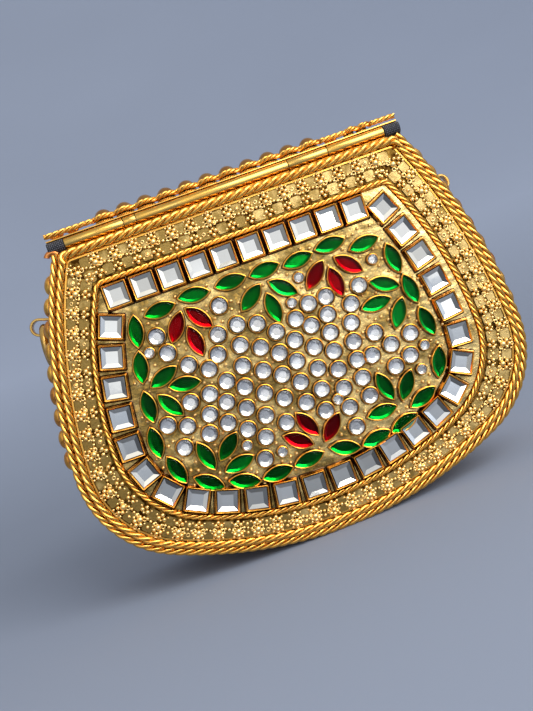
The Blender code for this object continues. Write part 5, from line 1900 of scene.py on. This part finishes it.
class CLUTCH_OT_closure(bpy.types.Operator):
    """Magnet, strike plate and the end cap of the rim rope"""
    bl_idname = "clutch.closure"
    bl_label = "Closure"

    def execute(self, context):
        discs = (("magnet", "closure_magnet", "body"), ("strike", "flap_strike_plate", "flap"))
        for name, node_name, owner in discs:
            low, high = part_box(node_name)
            thick = high.y - low.y
            radius = MAGNET / 2
            profile = ((radius - 0.25 * MM, 0.0), (radius, 0.25 * MM), (radius, thick - 0.3 * MM),
                       (radius - 0.1 * MM, thick - 0.1 * MM), (radius - 0.3 * MM, thick),
                       (radius - 1.0 * MM, thick),
                       (radius - 1.1 * MM, thick - 0.12 * MM), (1.6 * MM, thick - 0.12 * MM),
                       (1.5 * MM, thick - 0.3 * MM), (0.4 * MM, thick - 0.3 * MM))
            place = Vector((0.0, low.y, (low.z + high.z) / 2))
            disc = turned(name, profile, place, Vector((0, 1, 0)), 48)
            piece(name, disc, nickel(), owner, (node_name,))
        tip = body_path(RIM_ROPE_INSET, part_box("front_rim_rope")[1].z)[-1]
        wire = 0.95 * MM
        frames = []
        for step in range(13):
            turn = math.radians(25 + 130 * step / 12)
            spoke = Vector((math.cos(turn), 0.0, math.sin(turn)))
            centre = Vector((tip.x - 1.0 * MM, ROPE_Y, tip.y - 1.1 * MM))
            frames.append((centre + spoke * 2.0 * MM, spoke, Vector((0, 1, 0))))
        piece("cap", swept("cap", frames, circle(wire, 14)), copper(), "body", ("rope_end_cap",))
        return {"FINISHED"}


class CLUTCH_OT_stage(bpy.types.Operator):
    """Pale floor and walls, lamps and the camera"""
    bl_idname = "clutch.stage"
    bl_label = "Stage"

    def execute(self, context):
        given = context.scene.clutch.stage
        self.bowl(given)
        self.lamps(given)
        self.camera(context, given)
        self.sky(context, given)
        context.scene.view_settings.view_transform = "Standard"
        return {"FINISHED"}

    def sky(self, context, given):
        """Light from all round, brighter on the side of the large lamp."""
        world = bpy.data.worlds.new("sky")
        world.use_nodes = True
        tree = world.node_tree
        way = node(tree, "ShaderNodeTexCoord").outputs["Generated"]
        side = vector_node(tree, "DOT_PRODUCT", {0: way, 1: KEY_SIDE})
        stops = ((0.0, (0.72, 0.74, 0.78)), (0.5, (0.9, 0.91, 0.93)), (1.0, (1.0, 0.99, 0.96)))
        glow = ramp(tree, side, stops)
        background = tree.nodes["Background"]
        tree.links.new(glow, background.inputs["Color"])
        background.inputs["Strength"].default_value = given.sky
        context.scene.world = world

    def bowl(self, given):
        """A flat floor in the middle of a wide shallow bowl, evenly lit from above."""
        made, tree, shader, place = blank("backdrop")
        cloud = noise(tree, place, 0.9, 2.0)
        away = node(tree, "ShaderNodeVectorMath", {0: place}, operation="LENGTH").outputs["Value"]
        # painted shade round the bag: the floor is darker within 1.3 m of its middle, down to about half its
        # colour inside 0.3 m
        dimmed_near_bag = scaled(tree, away, 0.3, 1.3, 0.0, 1.0)
        far = mixed(tree, cloud, [c * 0.95 for c in given.backdrop], [c * 1.05 for c in given.backdrop])
        tone = mixed(tree, dimmed_near_bag, [c * 0.54 for c in given.backdrop], far)
        tree.links.new(tone, shader.inputs["Base Color"])
        shader.inputs["Roughness"].default_value = 0.9
        shader.inputs["Specular IOR Level"].default_value = 0.1
        flat = 0.35
        sphere = 4.0
        profile = [(flat * step / 4, 0.0) for step in range(1, 5)]
        profile += [(flat + sphere * math.sin(turn), sphere - sphere * math.cos(turn))
                    for turn in (math.radians(66) * step / 34 for step in range(1, 35))]
        work = bmesh.new()
        rings = [[Vector((*spot, height)) for spot in circle(radius, 96)] for radius, height in profile]
        skin(work, rings, True, True, False)
        for face in work.faces:
            face.normal_update()
            outward = face.normal.dot(face.calc_center_median()) > 0
            if face.normal.z < 0 or outward and abs(face.normal.z) < 0.99:
                face.normal_flip()
            face.smooth = True
        mesh = bpy.data.meshes.new("floor")
        work.to_mesh(mesh)
        work.free()
        mesh.materials.append(made)
        floor = bpy.data.objects.new("floor", mesh)
        bpy.context.scene.collection.objects.link(floor)

    def lamps(self, given):
        heart = Vector((0.0, 0.0, 62 * MM))
        for name, where, size, power in (("key", (0.50, -0.72, 0.60), (0.8, 0.8), given.key),
                                         ("window", (0.85, -0.62, 0.40), (0.9, 0.6), given.window),
                                         ("front", (-0.22, -0.95, 0.42), (0.26, 0.26), given.front),
                                         ("room", (0.0, -0.60, 0.35), (1.4, 0.68), given.room)):
            lamp = bpy.data.lights.new(name, "AREA")
            lamp.shape = "RECTANGLE"
            lamp.size, lamp.size_y = size
            lamp.energy = power
            holder = bpy.data.objects.new(name, lamp)
            holder.location = where
            aim = Vector((heart.x, heart.y, where[2])) if name == "room" else heart
            holder.rotation_euler = (aim - Vector(where)).to_track_quat("-Z", "Y").to_euler()
            holder.visible_camera = False
            bpy.context.scene.collection.objects.link(holder)

    def camera(self, context, given):
        target = Vector(LOOK_AT) * MM
        flat = math.cos(given.pitch)
        ahead = Vector((math.sin(given.yaw) * flat, math.cos(given.yaw) * flat, math.sin(given.pitch)))
        level = ahead.cross(Vector((0, 0, 1))).normalized()
        above = level.cross(ahead)
        right = level * math.cos(given.roll) - above * math.sin(given.roll)
        up = above * math.cos(given.roll) + level * math.sin(given.roll)
        view = bpy.data.cameras.new("camera")
        view.sensor_width = SENSOR_WIDTH
        view.lens = SENSOR_WIDTH * FOCAL_PIXELS / PHOTO_HEIGHT
        view.clip_start = 10 * MM
        holder = bpy.data.objects.new("camera", view)
        turn = Matrix((right, up, -ahead)).transposed().to_4x4()
        holder.matrix_world = Matrix.Translation(target - ahead * given.distance) @ turn
        context.scene.collection.objects.link(holder)
        context.scene.camera = holder


OPERATORS = (CLUTCH_OT_ropes, CLUTCH_OT_border, CLUTCH_OT_panel, CLUTCH_OT_squares, CLUTCH_OT_leaves,
             CLUTCH_OT_rounds, CLUTCH_OT_plates, CLUTCH_OT_hinge, CLUTCH_OT_cloth, CLUTCH_OT_domes,
             CLUTCH_OT_rings, CLUTCH_OT_closure, CLUTCH_OT_stage)


class CLUTCH_PT_panel(bpy.types.Panel):
    """Lists the steps that build the clutch"""
    bl_idname = "CLUTCH_PT_panel"
    bl_label = "Clutch"
    bl_space_type = "VIEW_3D"
    bl_region_type = "UI"
    bl_category = "Clutch"

    def draw(self, context):
        for step in OPERATORS:
            self.layout.operator(step.bl_idname)


CLASSES = (ClutchColours, ClutchRopes, ClutchBorder, ClutchStones, ClutchHinge, ClutchStage, ClutchSettings,
           *OPERATORS, CLUTCH_PT_panel)


def register():
    for made in CLASSES:
        bpy.utils.register_class(made)
    bpy.types.Scene.clutch = PointerProperty(type=ClutchSettings)


def unregister():
    del bpy.types.Scene.clutch
    for made in reversed(CLASSES):
        bpy.utils.unregister_class(made)


def main():
    register()
    for step in OPERATORS:
        group, name = step.bl_idname.split(".")
        getattr(getattr(bpy.ops, group), name)()


if __name__ == "__main__":
    main()
